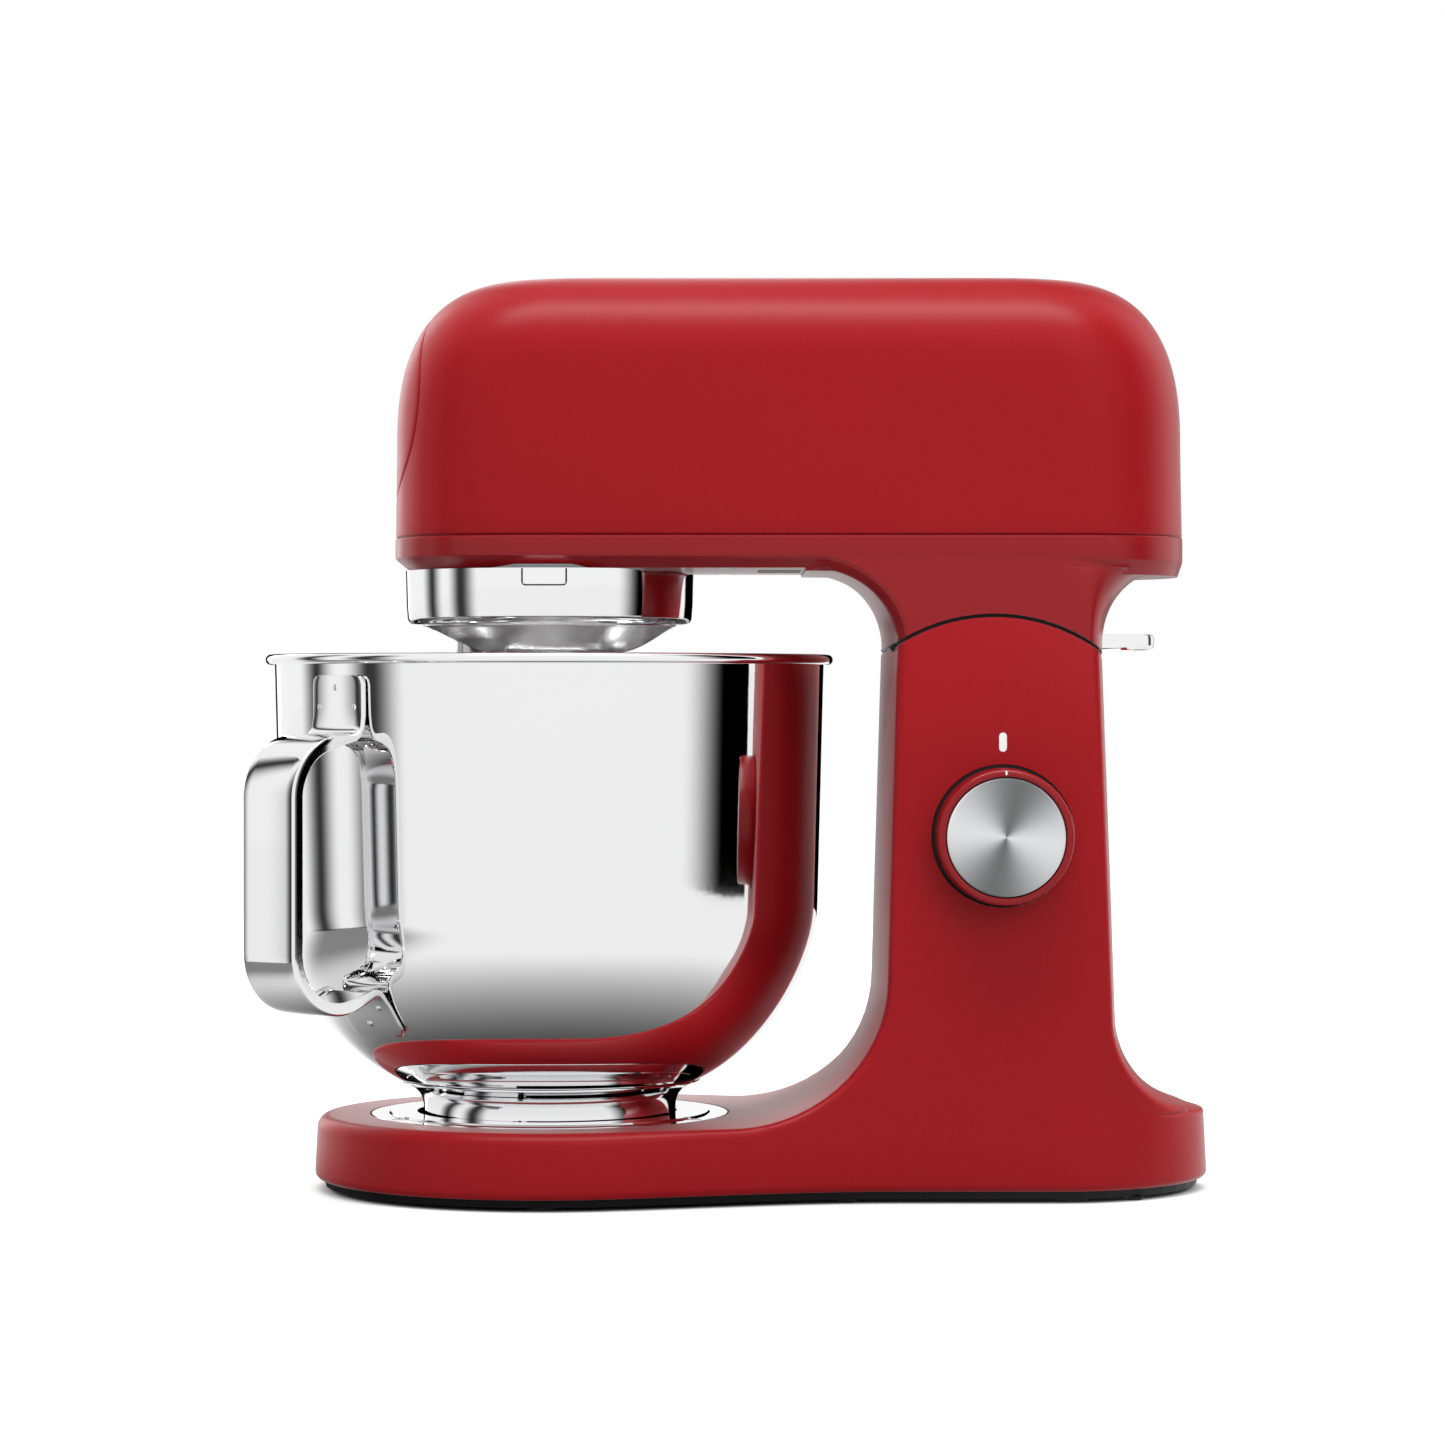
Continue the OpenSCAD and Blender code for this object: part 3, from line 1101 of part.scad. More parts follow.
module lower_plate() {
  rotate(handle_angle - plate_half - 1.4) rotate_extrude(angle = 2 * (plate_half + 1.4), $fn = 96)
      polygon(concat(
    [for (z = lower_levels) [bowl_r(z) + 0.12, z]],
    [for (k = [4 : -1 : 0]) [bowl_r(lower_levels[k]) + strap_t, lower_levels[k] - 0.8]]));
}
module bowl_handle() {
  line = strap_line();
  left = offset_line(line, strap_t / 2);
  right = offset_line(line, -strap_t / 2);
  color([0.83, 0.84, 0.85]) difference() {
    union() {
      rotate(handle_angle) translate([0, strap_w / 2, 0]) rotate([90, 0, 0]) linear_extrude(strap_w)
        polygon(concat(left, [for (k = [len(right) - 1 : -1 : 0]) right[k]]));
      sector(wall_r + 0.1, wall_r + 0.1 + strap_t, arm_top + small_bend - 2, plate_top,
             handle_angle - plate_half, handle_angle + plate_half);
      lower_plate();
    }
    rivet_holes(rivet_r + 0.05);
  }
}
module rivet() {
  translate([0, 0, -bowl_t - 1]) cylinder(r = rivet_r, h = bowl_t + strap_t + 2);
  translate([0, 0, strap_t + 0.35]) cylinder(r1 = rivet_r + 1.4, r2 = rivet_r, h = 1.4);
  translate([0, 0, -bowl_t - 1.4]) cylinder(r = rivet_r + 0.8, h = 0.8);
}
module handle_rivets() {
  color([0.75, 0.76, 0.78]) for (p = concat(upper_rivets, lower_rivets))
    at_wall(p[0], p[1], bowl_r(p[1]) + 0.2) rivet();
}

module placed() {
  translate([-frame_x, 0, 0]) children();
}
placed() stand_casting();
placed() base_plate();
placed() rubber_feet();
placed() base_screws();
placed() seat_plate();
placed() seat_screws();
placed() knob_bezel();
placed() speed_control();
placed() indicator_lens();
placed() lamp_board();
placed() control_board();
placed() hinge_bushes();
placed() keeper_plate();
placed() interlock_switch();
placed() cord_inlet();
placed() head_cover();
placed() head_casing();
placed() hub_ring();
placed() hub_catch();
placed() badge_disc();
placed() cover_screws();
placed() slot_cover();
placed() hinge_yoke();
placed() hinge_pin();
placed() yoke_screws();
placed() lever_pin();
placed() motor_body();
placed() motor_bracket();
placed() motor_bearings();
placed() gearbox_case();
placed() gearbox_lid();
placed() ring_gear();
placed() shaft_bearings();
placed() drive_belt();
placed() planet_carrier();
placed() carrier_shaft();
placed() main_gear();
placed() tool_spindle();
placed() planet_gear();
placed() drive_pin();
placed() beater();
placed() jackshaft();
placed() pinion();
placed() large_pulley();
placed() motor_shaft();
placed() armature();
placed() motor_pulley();
placed() cooling_fan();
placed() release_lever();
placed() lever_spring();
placed() knob_body();
placed() knob_cap();
placed() knob_shaft();
placed() bowl_shell();
placed() bowl_foot();
placed() bowl_handle();
placed() handle_rivets();
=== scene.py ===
"""Looks of the stand mixer: shells, steel, finishes, studio light and camera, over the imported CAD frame.

Lengths in the tables and shape functions are millimetres from the bowl's axis, as in the part's source:
the axis stands at X = 0, the worktop is Z = 0. to_row() turns them into the row frame in metres. Half rings
run from the centre plane over +Y; the letters in the shape functions are d for an inset and a for an angle.
"""

from math import acos, asin, atan2, cos, hypot, pi, radians, sin, sqrt, tan

import bmesh
import bpy
from mathutils import Matrix, Vector


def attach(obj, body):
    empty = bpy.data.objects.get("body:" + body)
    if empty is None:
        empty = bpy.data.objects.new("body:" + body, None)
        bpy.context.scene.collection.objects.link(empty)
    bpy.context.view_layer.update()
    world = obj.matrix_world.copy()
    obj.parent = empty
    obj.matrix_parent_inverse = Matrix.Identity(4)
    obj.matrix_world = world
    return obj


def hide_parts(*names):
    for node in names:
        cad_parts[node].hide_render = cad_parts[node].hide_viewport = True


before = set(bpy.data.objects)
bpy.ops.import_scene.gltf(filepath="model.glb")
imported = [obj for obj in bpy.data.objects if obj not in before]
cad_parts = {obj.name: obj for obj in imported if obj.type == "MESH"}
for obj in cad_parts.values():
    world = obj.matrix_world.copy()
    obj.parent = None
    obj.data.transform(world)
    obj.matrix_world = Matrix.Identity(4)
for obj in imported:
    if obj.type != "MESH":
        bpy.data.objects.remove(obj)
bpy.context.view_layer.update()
scene = bpy.context.scene

# ---- Sizes ----
AXIS_X = -70.0
# Head, with the neck, the hinge's seam and the disc on the nose
SEAM_Z, HEAD_TOP = 242.3, 338.0
NOSE, TAIL, HEAD_HW, END_LEN = 57.4, 236.4, 53.5, 47.0
NOSE_ROUND, TAIL_ROUND, ROUND_H, TOP_FLAT, EDGE_H = 52.0, 50.0, 63.0, 21.0, 33.0
ROUND_N, EDGE_N, PLAN_N = 2.6, 2.2, 2.2
UNDER_Z, LIP_Z, TAIL_DROP, COVER_T = 230.2, 234.6, 2.4, 3
NECK_Z, NECK_REAR, NECK_EDGE = 201.9, 205.2, 5
HINGE_X, HINGE_Z, SEAM_R, SEAM_GAP = 163.5, 147.7, 64.5, 1.3
ARM_Y, ARM_HW, ARM_REACH, ARM_FROM, ARM_TO = 28, 4.6, 75, 107 - 45 - 6.1, 107 + 6.1
# Inner and outer Y of the black strips of painted shade in the hinge's seam
SEAM_SHADE_IN, SEAM_SHADE_OUT = 46.2, 51.2
BADGE_Z, BADGE_R, BADGE_DEEP, BADGE_GAP = 290.5, 34.5, 1.6, 0.95
# Stand: base, seat, column and its fillets
BASE_R, TAIL_HW, BASE_REAR, BASE_TOP, BASE_LOW, BASE_EDGE = 87.7, 59.4, 246.0, 27.7, 4.1, 4.5
TAPER_Z, FLANK_X0, FLANK_X1, REAR_LEN, REAR_N = 204.0, 20.0, 127.0, 56.0, 1.8
DRAFT, SEAT_R, SEAT_DEEP, CUP_DEEP, STAND_T = 0.05, 67.3, 1.5, 10.2, 4
COL_FRONT, COL_LEAN, COL_REAR, REAR_LEAN, FRONT_R, REAR_R = 120.8, 3.7, 210.2, 4.8, 52.3, 36.4
FRONT_CZ, REAR_CZ = BASE_TOP + FRONT_R, BASE_TOP + 2.6 + REAR_R
FRONT_SLOPE, REAR_SLOPE, REAR_FOOT, COL_BOW, BOW_N = 0.052, 0.242, 14, 3.9, 2.2
REAR_START = asin(0.2)
# Bowl and handle
WALL_R, BELLY_R, BELLY_Z, BOWL_Z, BOTTOM_R, BELLY_N = 102.6, 100.3, 107.0, 34.0, 30.0, 1.85
RIM_Z, RIM_R, BEAD_R, BOWL_T, RING_R = 198.9, 106.0, 1.9, 1.2, 47.1
STRAP_HW, STRAP_T, GRIP_R, STRAP_BEND, HANDLE_ANGLE = 14.0, 1.8, 136.0, 21.5, 225.0
STRAP_CORNER, STRAP_FLANGE, STRAP_EDGE = 3.6, 3.3, 0.85
ARM_TOP, ARM_LOW, PLATE_TOP = 169.0, 70.5, 191.0
# Hub, with the dome's well and lobes and the painted shade of the catch's gap; knob, lamp and lever
HUB_R, HUB_Z, DOME_R, ORBIT = 53.8, 210.0, 47.2, 30.0
WELL_R, WELL_RISE, WELL_EDGE, LOBE_H, LOBE_RISE, LOBE_SWEEP = 15.2, 6.0, 1.6, 0.9, 0.82, 0.62
CATCH_HALF, CATCH_LOW, CATCH_CORNER, GAP_SHADE_W = 8.5, UNDER_Z - 6.35, 1.3, 0.26
KNOB_X, KNOB_Z, KNOB_R, CAP_R, KNOB_FACE = 166.4, 132.8, 24.8, 21.4, 75.0
LAMP_Z, LAMP_H, LAMP_W = 166.8, 7.2, 3.0
LEVER_HW, LEVER_T, LEVER_END, LEVER_X, LEVER_Z = 15.0, 5.6, 225.4, 187.5, 203.55
LEVER_CORNER, LEVER_PIN_Z = 4.5, LEVER_Z + 10.95


# ---- Mesh helpers ----
def to_row(p):
    return ((p[0] + AXIS_X) / 1000, p[1] / 1000, p[2] / 1000)


def solid(name, points, faces, crease=32):
    """A closed mesh with outward normals, smooth but for edges over crease degrees."""
    mesh = bpy.data.meshes.new(name)
    mesh.from_pydata([to_row(p) for p in points], [], faces)
    bm = bmesh.new()
    bm.from_mesh(mesh)
    bmesh.ops.remove_doubles(bm, verts=bm.verts, dist=2e-6)
    bmesh.ops.dissolve_degenerate(bm, edges=bm.edges, dist=1e-6)
    bmesh.ops.recalc_face_normals(bm, faces=bm.faces)
    bm.to_mesh(mesh)
    bm.free()
    obj = bpy.data.objects.new(name, mesh)
    scene.collection.objects.link(obj)
    smooth(obj, crease)
    return obj


def smooth(obj, crease):
    for poly in obj.data.polygons:
        poly.use_smooth = True
    obj.data.set_sharp_from_angle(angle=radians(crease))


def carve(obj, cutters, crease=32, operation="DIFFERENCE"):
    """Cuts each cutter out of obj, or joins it on, and drops the cutters."""
    for cutter in cutters:
        mod = obj.modifiers.new("cut", "BOOLEAN")
        mod.operation = operation
        mod.solver = "EXACT"
        mod.object = cutter
    graph = bpy.context.evaluated_depsgraph_get()
    mesh = bpy.data.meshes.new_from_object(obj.evaluated_get(graph))
    obj.modifiers.clear()
    obj.data = mesh
    for cutter in cutters:
        bpy.data.objects.remove(cutter)
    smooth(obj, crease)


def place(obj, material, body, *nodes):
    """Gives obj its finish, the CAD nodes it stands for and the body it rides on."""
    obj.data.materials.clear()
    obj.data.materials.append(material)
    if nodes:
        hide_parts(*nodes)
    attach(obj, body)


def full_ring(half):
    return half + [(p[0], -p[1], p[2]) for p in half[-2:0:-1]]


def wall_faces(n, rows, first=0):
    return [(first + k * n + i, first + k * n + (i + 1) % n,
             first + (k + 1) * n + (i + 1) % n, first + (k + 1) * n + i)
            for k in range(rows - 1) for i in range(n)]


def cap_faces(n, first):
    """Strips across a mirrored ring, from one side to the other."""
    faces = []
    for i in range(n // 2):
        face = dict.fromkeys((i, i + 1, (n - i - 1) % n, (n - i) % n))
        faces.append(tuple(first + k for k in face))
    return [f for f in faces if len(f) > 2]


def loft(name, halves):
    """A solid through mirrored rings, given as half rings from one end to the other."""
    rings = [full_ring(h) for h in halves]
    n, rows = len(rings[0]), len(rings)
    faces = wall_faces(n, rows) + cap_faces(n, 0) + cap_faces(n, (rows - 1) * n)
    return solid(name, [p for r in rings for p in r], faces)


def shell(name, outer, inner):
    """A shell open at the bottom, from its outer and inner half rings, bottom first."""
    rings = [full_ring(h) for h in outer + inner]
    n, a, b = len(rings[0]), len(outer), len(inner)
    rim = [(i, (i + 1) % n, a * n + (i + 1) % n, a * n + i) for i in range(n)]
    faces = (wall_faces(n, a) + cap_faces(n, (a - 1) * n) + rim
             + wall_faces(n, b, a * n) + cap_faces(n, (a + b - 1) * n))
    return solid(name, [p for r in rings for p in r], faces)


def circle(x, z, r, steps=96):
    return [(x + r * cos(2 * pi * i / steps), z + r * sin(2 * pi * i / steps)) for i in range(steps)]


def arc(x, z, r, angles):
    """Points round (x, z) at angles in degrees."""
    return [(x + r * cos(radians(a)), z + r * sin(radians(a))) for a in angles]


def around(x, z, steps):
    """Points given as steps from (x, z)."""
    return [(x + a, z + b) for a, b in steps]


def lathe(name, profile, steps, closed=True):
    """Turns (radius, height) points about Z; points on the axis close it there."""
    points, rows = [], []
    for r, z in profile:
        if r < 1e-6:
            rows.append([len(points)] * steps)
            points.append((0, 0, z))
        else:
            rows.append(list(range(len(points), len(points) + steps)))
            points += [(x, y, z) for x, y in circle(0, 0, r, steps)]
    faces = []
    for k in range(len(rows) if closed else len(rows) - 1):
        lo, hi = rows[k], rows[(k + 1) % len(rows)]
        for i in range(steps):
            j = (i + 1) % steps
            faces.append(tuple(dict.fromkeys((lo[i], lo[j], hi[j], hi[i]))))
    return solid(name, points, [f for f in faces if len(f) > 2])


def bend(a, b, c, steps):
    """Points of the curve that leaves a towards b and reaches c."""
    ts = [k / steps for k in range(steps + 1)]
    return [tuple(a * (1 - t) ** 2 + b * 2 * t * (1 - t) + c * t * t) for t in ts]


def round_corners(points, radius):
    """A closed outline of (a, b) points with each corner rounded."""
    out = []
    for i, point in enumerate(points):
        a, b, c = Vector(points[i - 1]), Vector(point), Vector(points[(i + 1) % len(points)])
        u, v = (a - b).normalized(), (c - b).normalized()
        cut = min(radius / tan(u.angle(v) / 2), (a - b).length * 0.45, (c - b).length * 0.45)
        out += bend(b + u * cut, b, b + v * cut, 4)
    return out


def prism_y(name, outline, y0, y1):
    """An outline of (x, z) points drawn out along Y."""
    n = len(outline)
    points = [(x, y, z) for y in (y0, y1) for x, z in outline]
    faces = [tuple(range(n)), tuple(range(2 * n - 1, n - 1, -1))]
    return solid(name, points, faces + wall_faces(n, 2))


def block(name, x0, y0, z0, x1, y1, z1):
    return prism_y(name, [(x0, z0), (x1, z0), (x1, z1), (x0, z1)], y0, y1)


def plug(name, radius, low, high, steps):
    """A round bar about the bowl's axis, from low to high."""
    return lathe(name, [(0, low), (radius, low), (radius, high), (0, high)], steps)


def about_z(obj, x, y):
    """Moves a turned piece from the bowl's axis to (x, y), in its mesh."""
    obj.data.transform(Matrix.Translation((x / 1000, y / 1000, 0)))


def lay_down(obj, spot, axis):
    """Turns a turned piece a quarter about axis and moves its foot to spot, in its mesh."""
    obj.data.transform(Matrix.Translation(to_row(spot)) @ Matrix.Rotation(radians(90), 4, axis)
                       @ Matrix.Translation((-AXIS_X / 1000, 0, 0)))


def soften(obj, width):
    """Rounds the piece's sharp edges by width millimetres."""
    mod = obj.modifiers.new("edges", "BEVEL")
    mod.width = width / 1000
    mod.segments = 3
    mod.limit_method = "ANGLE"
    mod.angle_limit = radians(35)
    mod.harden_normals = True
    mod.use_clamp_overlap = True


# ---- Node helpers ----
def feed(tree, node, inputs):
    """Gives each input of node its constant, or the output that drives it."""
    for key, value in inputs.items():
        if isinstance(value, bpy.types.NodeSocket):
            tree.links.new(value, node.inputs[key])
        else:
            node.inputs[key].default_value = value


def add(tree, kind, inputs=None, **settings):
    """A new shader node with its settings and inputs; gives its outputs."""
    node = tree.nodes.new("ShaderNode" + kind)
    for key, value in settings.items():
        setattr(node, key, value)
    feed(tree, node, inputs or {})
    return node.outputs


def maths(tree, operation, *values):
    return add(tree, "Math", dict(enumerate(values)), operation=operation)["Value"]


def vector_maths(tree, operation, *values):
    """The outputs of a vector maths node, for its Vector or its Value."""
    return add(tree, "VectorMath", dict(enumerate(values)), operation=operation)


def ramp(tree, value, start, end, low=0.0, high=1.0, kind="LINEAR"):
    """value, mapped from start to end onto low to high."""
    inputs = {"Value": value, "From Min": start, "From Max": end, "To Min": low, "To Max": high}
    return add(tree, "MapRange", inputs, interpolation_type=kind)["Result"]


def shades(tree, factor, colour, low, high):
    """A colour that runs from low to high times colour as factor rises."""
    a, b = [(*[min(1, c * share) for c in colour], 1) for share in (low, high)]
    return add(tree, "Mix", {"A": a, "B": b, "Factor": factor}, data_type="RGBA")["Result"]


def relief(tree, height, strength, distance):
    return add(tree, "Bump", {"Strength": strength, "Distance": distance, "Height": height})["Normal"]


def mix_shader(tree, factor, first, second):
    return add(tree, "MixShader", {"Fac": factor, 1: first, 2: second})[0]


def object_spot(tree):
    return add(tree, "TexCoord")["Object"]


# ---- Materials ----
def finish(name, colour, metal=0.0, rough=0.4, spread=0.06, scale=300.0, bump=0.02, tint=0.05,
           level=0.5, sheen=0.0, stretch=(1, 1, 1), grain=4.0):
    """A surface whose tone, gloss and relief vary with a fine grain and slow clouds."""
    mat = bpy.data.materials.new(name)
    mat.use_nodes = True
    tree = mat.node_tree
    spot = add(tree, "Mapping", {"Scale": stretch, "Vector": object_spot(tree)})["Vector"]
    clouds = add(tree, "TexNoise", {"Scale": scale / 12, "Detail": 2, "Vector": spot})["Fac"]
    fine = add(tree, "TexNoise", {"Scale": scale * grain, "Detail": 3, "Vector": spot})["Fac"]
    shader = tree.nodes["Principled BSDF"]
    feed(tree, shader, {
        "Metallic": metal, "Specular IOR Level": level, "Sheen Weight": sheen, "Sheen Roughness": 0.25,
        "Base Color": shades(tree, clouds, colour, 1 - tint, 1 + tint),
        "Roughness": ramp(tree, fine, 0, 1, max(0.01, rough - spread), rough + spread)})
    if bump:
        feed(tree, shader, {"Normal": relief(tree, fine, bump, 0.0003)})
    return mat


def circular_brushing_with_painted_fans(name, colour, centre):
    """Metal brushed in circles round an axis along Y through centre: fine rings, and fans of painted
    highlight and shade in its colour.
    """
    mat = finish(name, colour, metal=1.0, rough=0.3, spread=0.03, scale=200, bump=0, tint=0.02)
    tree = mat.node_tree
    spot = vector_maths(tree, "SUBTRACT", object_spot(tree), centre)["Vector"]
    flat = vector_maths(tree, "MULTIPLY", spot, (1, 0, 1))["Vector"]
    radius = vector_maths(tree, "LENGTH", flat)["Value"]
    rings = add(tree, "TexNoise", {"Scale": 3200, "Detail": 3, "W": radius}, noise_dimensions="1D")["Fac"]
    split = add(tree, "SeparateXYZ", {"Vector": flat})
    angle = maths(tree, "ARCTAN2", split["Z"], split["X"])
    # Painted highlight and shade: the colour runs lighter and darker in fans by angle round the axis
    painted_fans = maths(tree, "COSINE", maths(tree, "MULTIPLY_ADD", angle, 2.0, 0.5))
    feed(tree, tree.nodes["Principled BSDF"], {
        "Anisotropic": 0.85,
        "Tangent": add(tree, "Tangent", direction_type="RADIAL", axis="Y")["Tangent"],
        "Normal": relief(tree, rings, 0.22, 0.0001),
        "Base Color": shades(tree, ramp(tree, painted_fans, -1, 1), colour, 0.42, 1.75)})
    return mat


RED = (0.3, 0.0045, 0.0085)
BRIGHT = (0.88, 0.88, 0.885)
paint = finish("red_paint", RED, rough=0.36, spread=0.05, bump=0.18, tint=0.03, level=0.17, sheen=0.4,
               grain=6)
casing_paint = finish("red_casing", tuple(c * 0.86 for c in RED), rough=0.3, spread=0.05, bump=0.1,
                      tint=0.03, level=0.32, sheen=0.3, grain=6)
knob_paint = finish("red_knob", tuple(c * 0.82 for c in RED), rough=0.28, spread=0.04, scale=320, bump=0.04,
                    level=0.3, grain=6)
mirror_steel = finish("mirror_steel", BRIGHT, metal=1, rough=0.035, spread=0.015, scale=120, bump=0.006,
                      tint=0.01)
chrome = finish("chrome", BRIGHT, metal=1, rough=0.05, spread=0.02, scale=160, bump=0.008, tint=0.01)
strap_steel = finish("strap_steel", (0.86, 0.86, 0.865), metal=1, rough=0.055, spread=0.02, scale=200,
                     bump=0.01, tint=0.02)
cast_metal = finish("cast_aluminium", (0.6, 0.6, 0.6), metal=0.9, rough=0.36, spread=0.08, scale=260,
                    bump=0.12, tint=0.06)
dome_metal = finish("satin_dome", (0.74, 0.735, 0.73), metal=1, rough=0.26, spread=0.02, scale=220,
                    bump=0.008, stretch=(1, 1, 7), tint=0.08)
steel = finish("turned_steel", (0.62, 0.63, 0.64), metal=1, rough=0.24, spread=0.08, bump=0.05,
               stretch=(1, 1, 6), tint=0.06)
dark_steel = finish("dark_steel", (0.24, 0.25, 0.26), metal=0.9, spread=0.1, scale=240, bump=0.08)
bronze = finish("sintered_bronze", (0.46, 0.30, 0.13), metal=0.9, rough=0.42, spread=0.08, scale=420,
                bump=0.12)
copper = finish("lacquered_copper", (0.52, 0.20, 0.08), metal=0.8, rough=0.34, spread=0.08, scale=500,
                bump=0.2, stretch=(1, 1, 8), tint=0.15)
nylon = finish("gear_nylon", (0.62, 0.55, 0.36), rough=0.42, spread=0.05, scale=200, bump=0.03)
board = finish("circuit_board", (0.03, 0.16, 0.07), spread=0.1, scale=700, bump=0.15, tint=0.3)
# Black plastic for the base plate and other parts, and painted shade for the seam, groove and catch strips
plastic_and_shade = finish("black_plastic", (0.01, 0.01, 0.011), rough=0.45, spread=0.08, scale=320, bump=0.12,
                 level=0.2)
rubber = finish("black_rubber", (0.035, 0.035, 0.037), rough=0.7, spread=0.08, scale=260, bump=0.2, level=0.3)
lens = finish("frosted_lens", (0.93, 0.93, 0.91), rough=0.25, spread=0.04, scale=400)
# The knob's cap: brushed metal with painted fans of highlight and shade
cap_metal = circular_brushing_with_painted_fans("brushed_cap_with_painted_fans", (0.42, 0.425, 0.43), to_row((KNOB_X, 0, KNOB_Z)))


# ---- Head ----
def power(value, exponent):
    return max(0.0, value) ** exponent


def superround(u, n):
    return power(1 - power(u, n), 1 / n)


def nose_x(z):
    u = max(0.0, (z - (HEAD_TOP - ROUND_H)) / ROUND_H)
    return -NOSE + 0.4 * min(1, max(0, z - SEAM_Z) / 30) + NOSE_ROUND * (1 - superround(u, ROUND_N))


def tail_x(z):
    u = max(0.0, (z - (HEAD_TOP - ROUND_H)) / ROUND_H)
    return TAIL - 0.6 * min(1, max(0, z - SEAM_Z) / 30) - TAIL_ROUND * (1 - superround(u, ROUND_N))


def cover_hw(z):
    v = max(0.0, (z - (HEAD_TOP - EDGE_H)) / EDGE_H)
    return TOP_FLAT + (HEAD_HW - TOP_FLAT) * superround(v, EDGE_N)


def end_points(steps, p):
    """Cosine and sine shares round a superellipse's quarter, from its tip to its side."""
    for i in range(steps + 1):
        t = pi / 2 * i / steps
        yield power(cos(t), 2 / p), power(sin(t), 2 / p)


def oval(xf, xr, w, l, p, z):
    """A half ring from xf to xr, w wide, with rounded ends l long."""
    front = [(xf + l - l * c, w * s, z) for c, s in end_points(36, p)]
    rear = [(xr - l + l * c, w * s, z) for c, s in end_points(36, p)]
    return front + rear[::-1]


def cover_end(z):
    return END_LEN * (0.3 + 0.7 * cover_hw(z) / HEAD_HW)


def cover_half(z, d, drop=0.0):
    return oval(nose_x(z) + d, tail_x(z) - d, cover_hw(z) - d, cover_end(z) - d, PLAN_N, z - drop)


def nose_face(y, z):
    """X of the nose's surface at (y, z)."""
    w, l = cover_hw(z), cover_end(z)
    return nose_x(z) + l * (1 - superround(min(1, abs(y) / w), PLAN_N))


def nose_plug(name, radius, front, back, rings=((0.0, 0), (0.5, 0), (1.0, 0))):
    """A round plug along X whose faces follow the nose: rings gives each ring's (radius share, inset)."""
    steps = 128
    layers = [(share, front + inset) for share, inset in rings] + [(1.0, back), (0.0, back)]
    points = [(nose_face(y, z) + depth, y, z) for share, depth in layers
              for y, z in circle(0, BADGE_Z, radius * share, steps)]
    return solid(name, points, wall_faces(steps, len(layers)))


def build_cover():
    levels = [SEAM_Z + h for h in (0.9, 6, 15, 25)]
    levels += [HEAD_TOP - ROUND_H + ROUND_H * power(sin(radians(a)), 2 / ROUND_N)
               for a in range(0, 91, 3)]
    outer = [cover_half(SEAM_Z + h, d) for h, d in ((0, 0.75), (0.25, 0.3), (0.5, 0.08))]
    outer += [cover_half(z, 0) for z in levels]
    inner = [cover_half(SEAM_Z, COVER_T)] + [cover_half(z, COVER_T, COVER_T) for z in levels[3::4]]
    cover = shell("cover_shell", outer, inner)
    carve(cover, [nose_plug("seat", BADGE_R + BADGE_GAP, -3, BADGE_DEEP)])
    place(cover, paint, "head", "head_cover")
    # Painted shade in the badge's groove: a black disc at the floor of the seat round the disc
    groove_shade = nose_plug("disc_groove_shade", BADGE_R + BADGE_GAP - 0.05, 1.02, BADGE_DEEP - 0.02)
    place(groove_shade, plastic_and_shade, "head")
    edge = [(0.972, 0.02), (0.986, 0.16), (0.996, 0.4), (1.0, 0.75)]
    disc = nose_plug("front_disc", BADGE_R, 0.0, 1.0, [(k / 24, 0) for k in range(23)] + edge)
    place(disc, paint, "head", "badge_disc")


# The neck's edges along its fillet, each the centre's x and the radii in x and z
NECK_MID, NECK_INNER, NECK_OUTER = (96, 28.5, 28.5), (96, 32.6, 28.3), (93, 38.8, 32.7)


def neck_edge(edge, a):
    """(x, z) of an edge at fillet angle a."""
    x, rx, rz = edge
    return x + rx * cos(a), NECK_Z + rz * sin(a)


def arc_z(x, r):
    """Height at x of the circle of radius r round the hinge."""
    return HINGE_Z + sqrt(max(0.0, r * r - (x - HINGE_X) ** 2))


def neck_half(a, w):
    """Half ring of the neck at fillet angle a: front panel, its rolled edge, the flank, the rear end."""
    s = 1 - cos(a)
    m, i, o = neck_edge(NECK_MID, a), neck_edge(NECK_INNER, a), neck_edge(NECK_OUTER, a)
    half, inner_y = [], w - NECK_EDGE
    for k in range(15):
        y = (inner_y - 0.8) * k / 14
        q = (y / inner_y) ** 2.2
        half.append((m[0] * (1 - q) + i[0] * q, y, m[1] * (1 - q) + i[1] * q))
    for c in (0.14, 0.5, 0.88):
        half.append((i[0] * (1 - c) + o[0] * c, inner_y + NECK_EDGE * c, i[1] * (1 - c) + o[1] * c))
    xr, z = NECK_REAR + (TAIL - 5 - NECK_REAR) * s, m[1]
    lr, n = 9 + 35 * s, 2.6 - 0.4 * s
    x0, z0 = o[0] + 1.2, o[1] + 0.9 * s
    half += [(x0 + (xr - lr - x0) * k / 13, w, z0 + (z - z0) * k / 13) for k in range(13)]
    half += [(xr - lr + lr * c, w * q, z) for c, q in list(end_points(24, n))[::-1]]
    return half


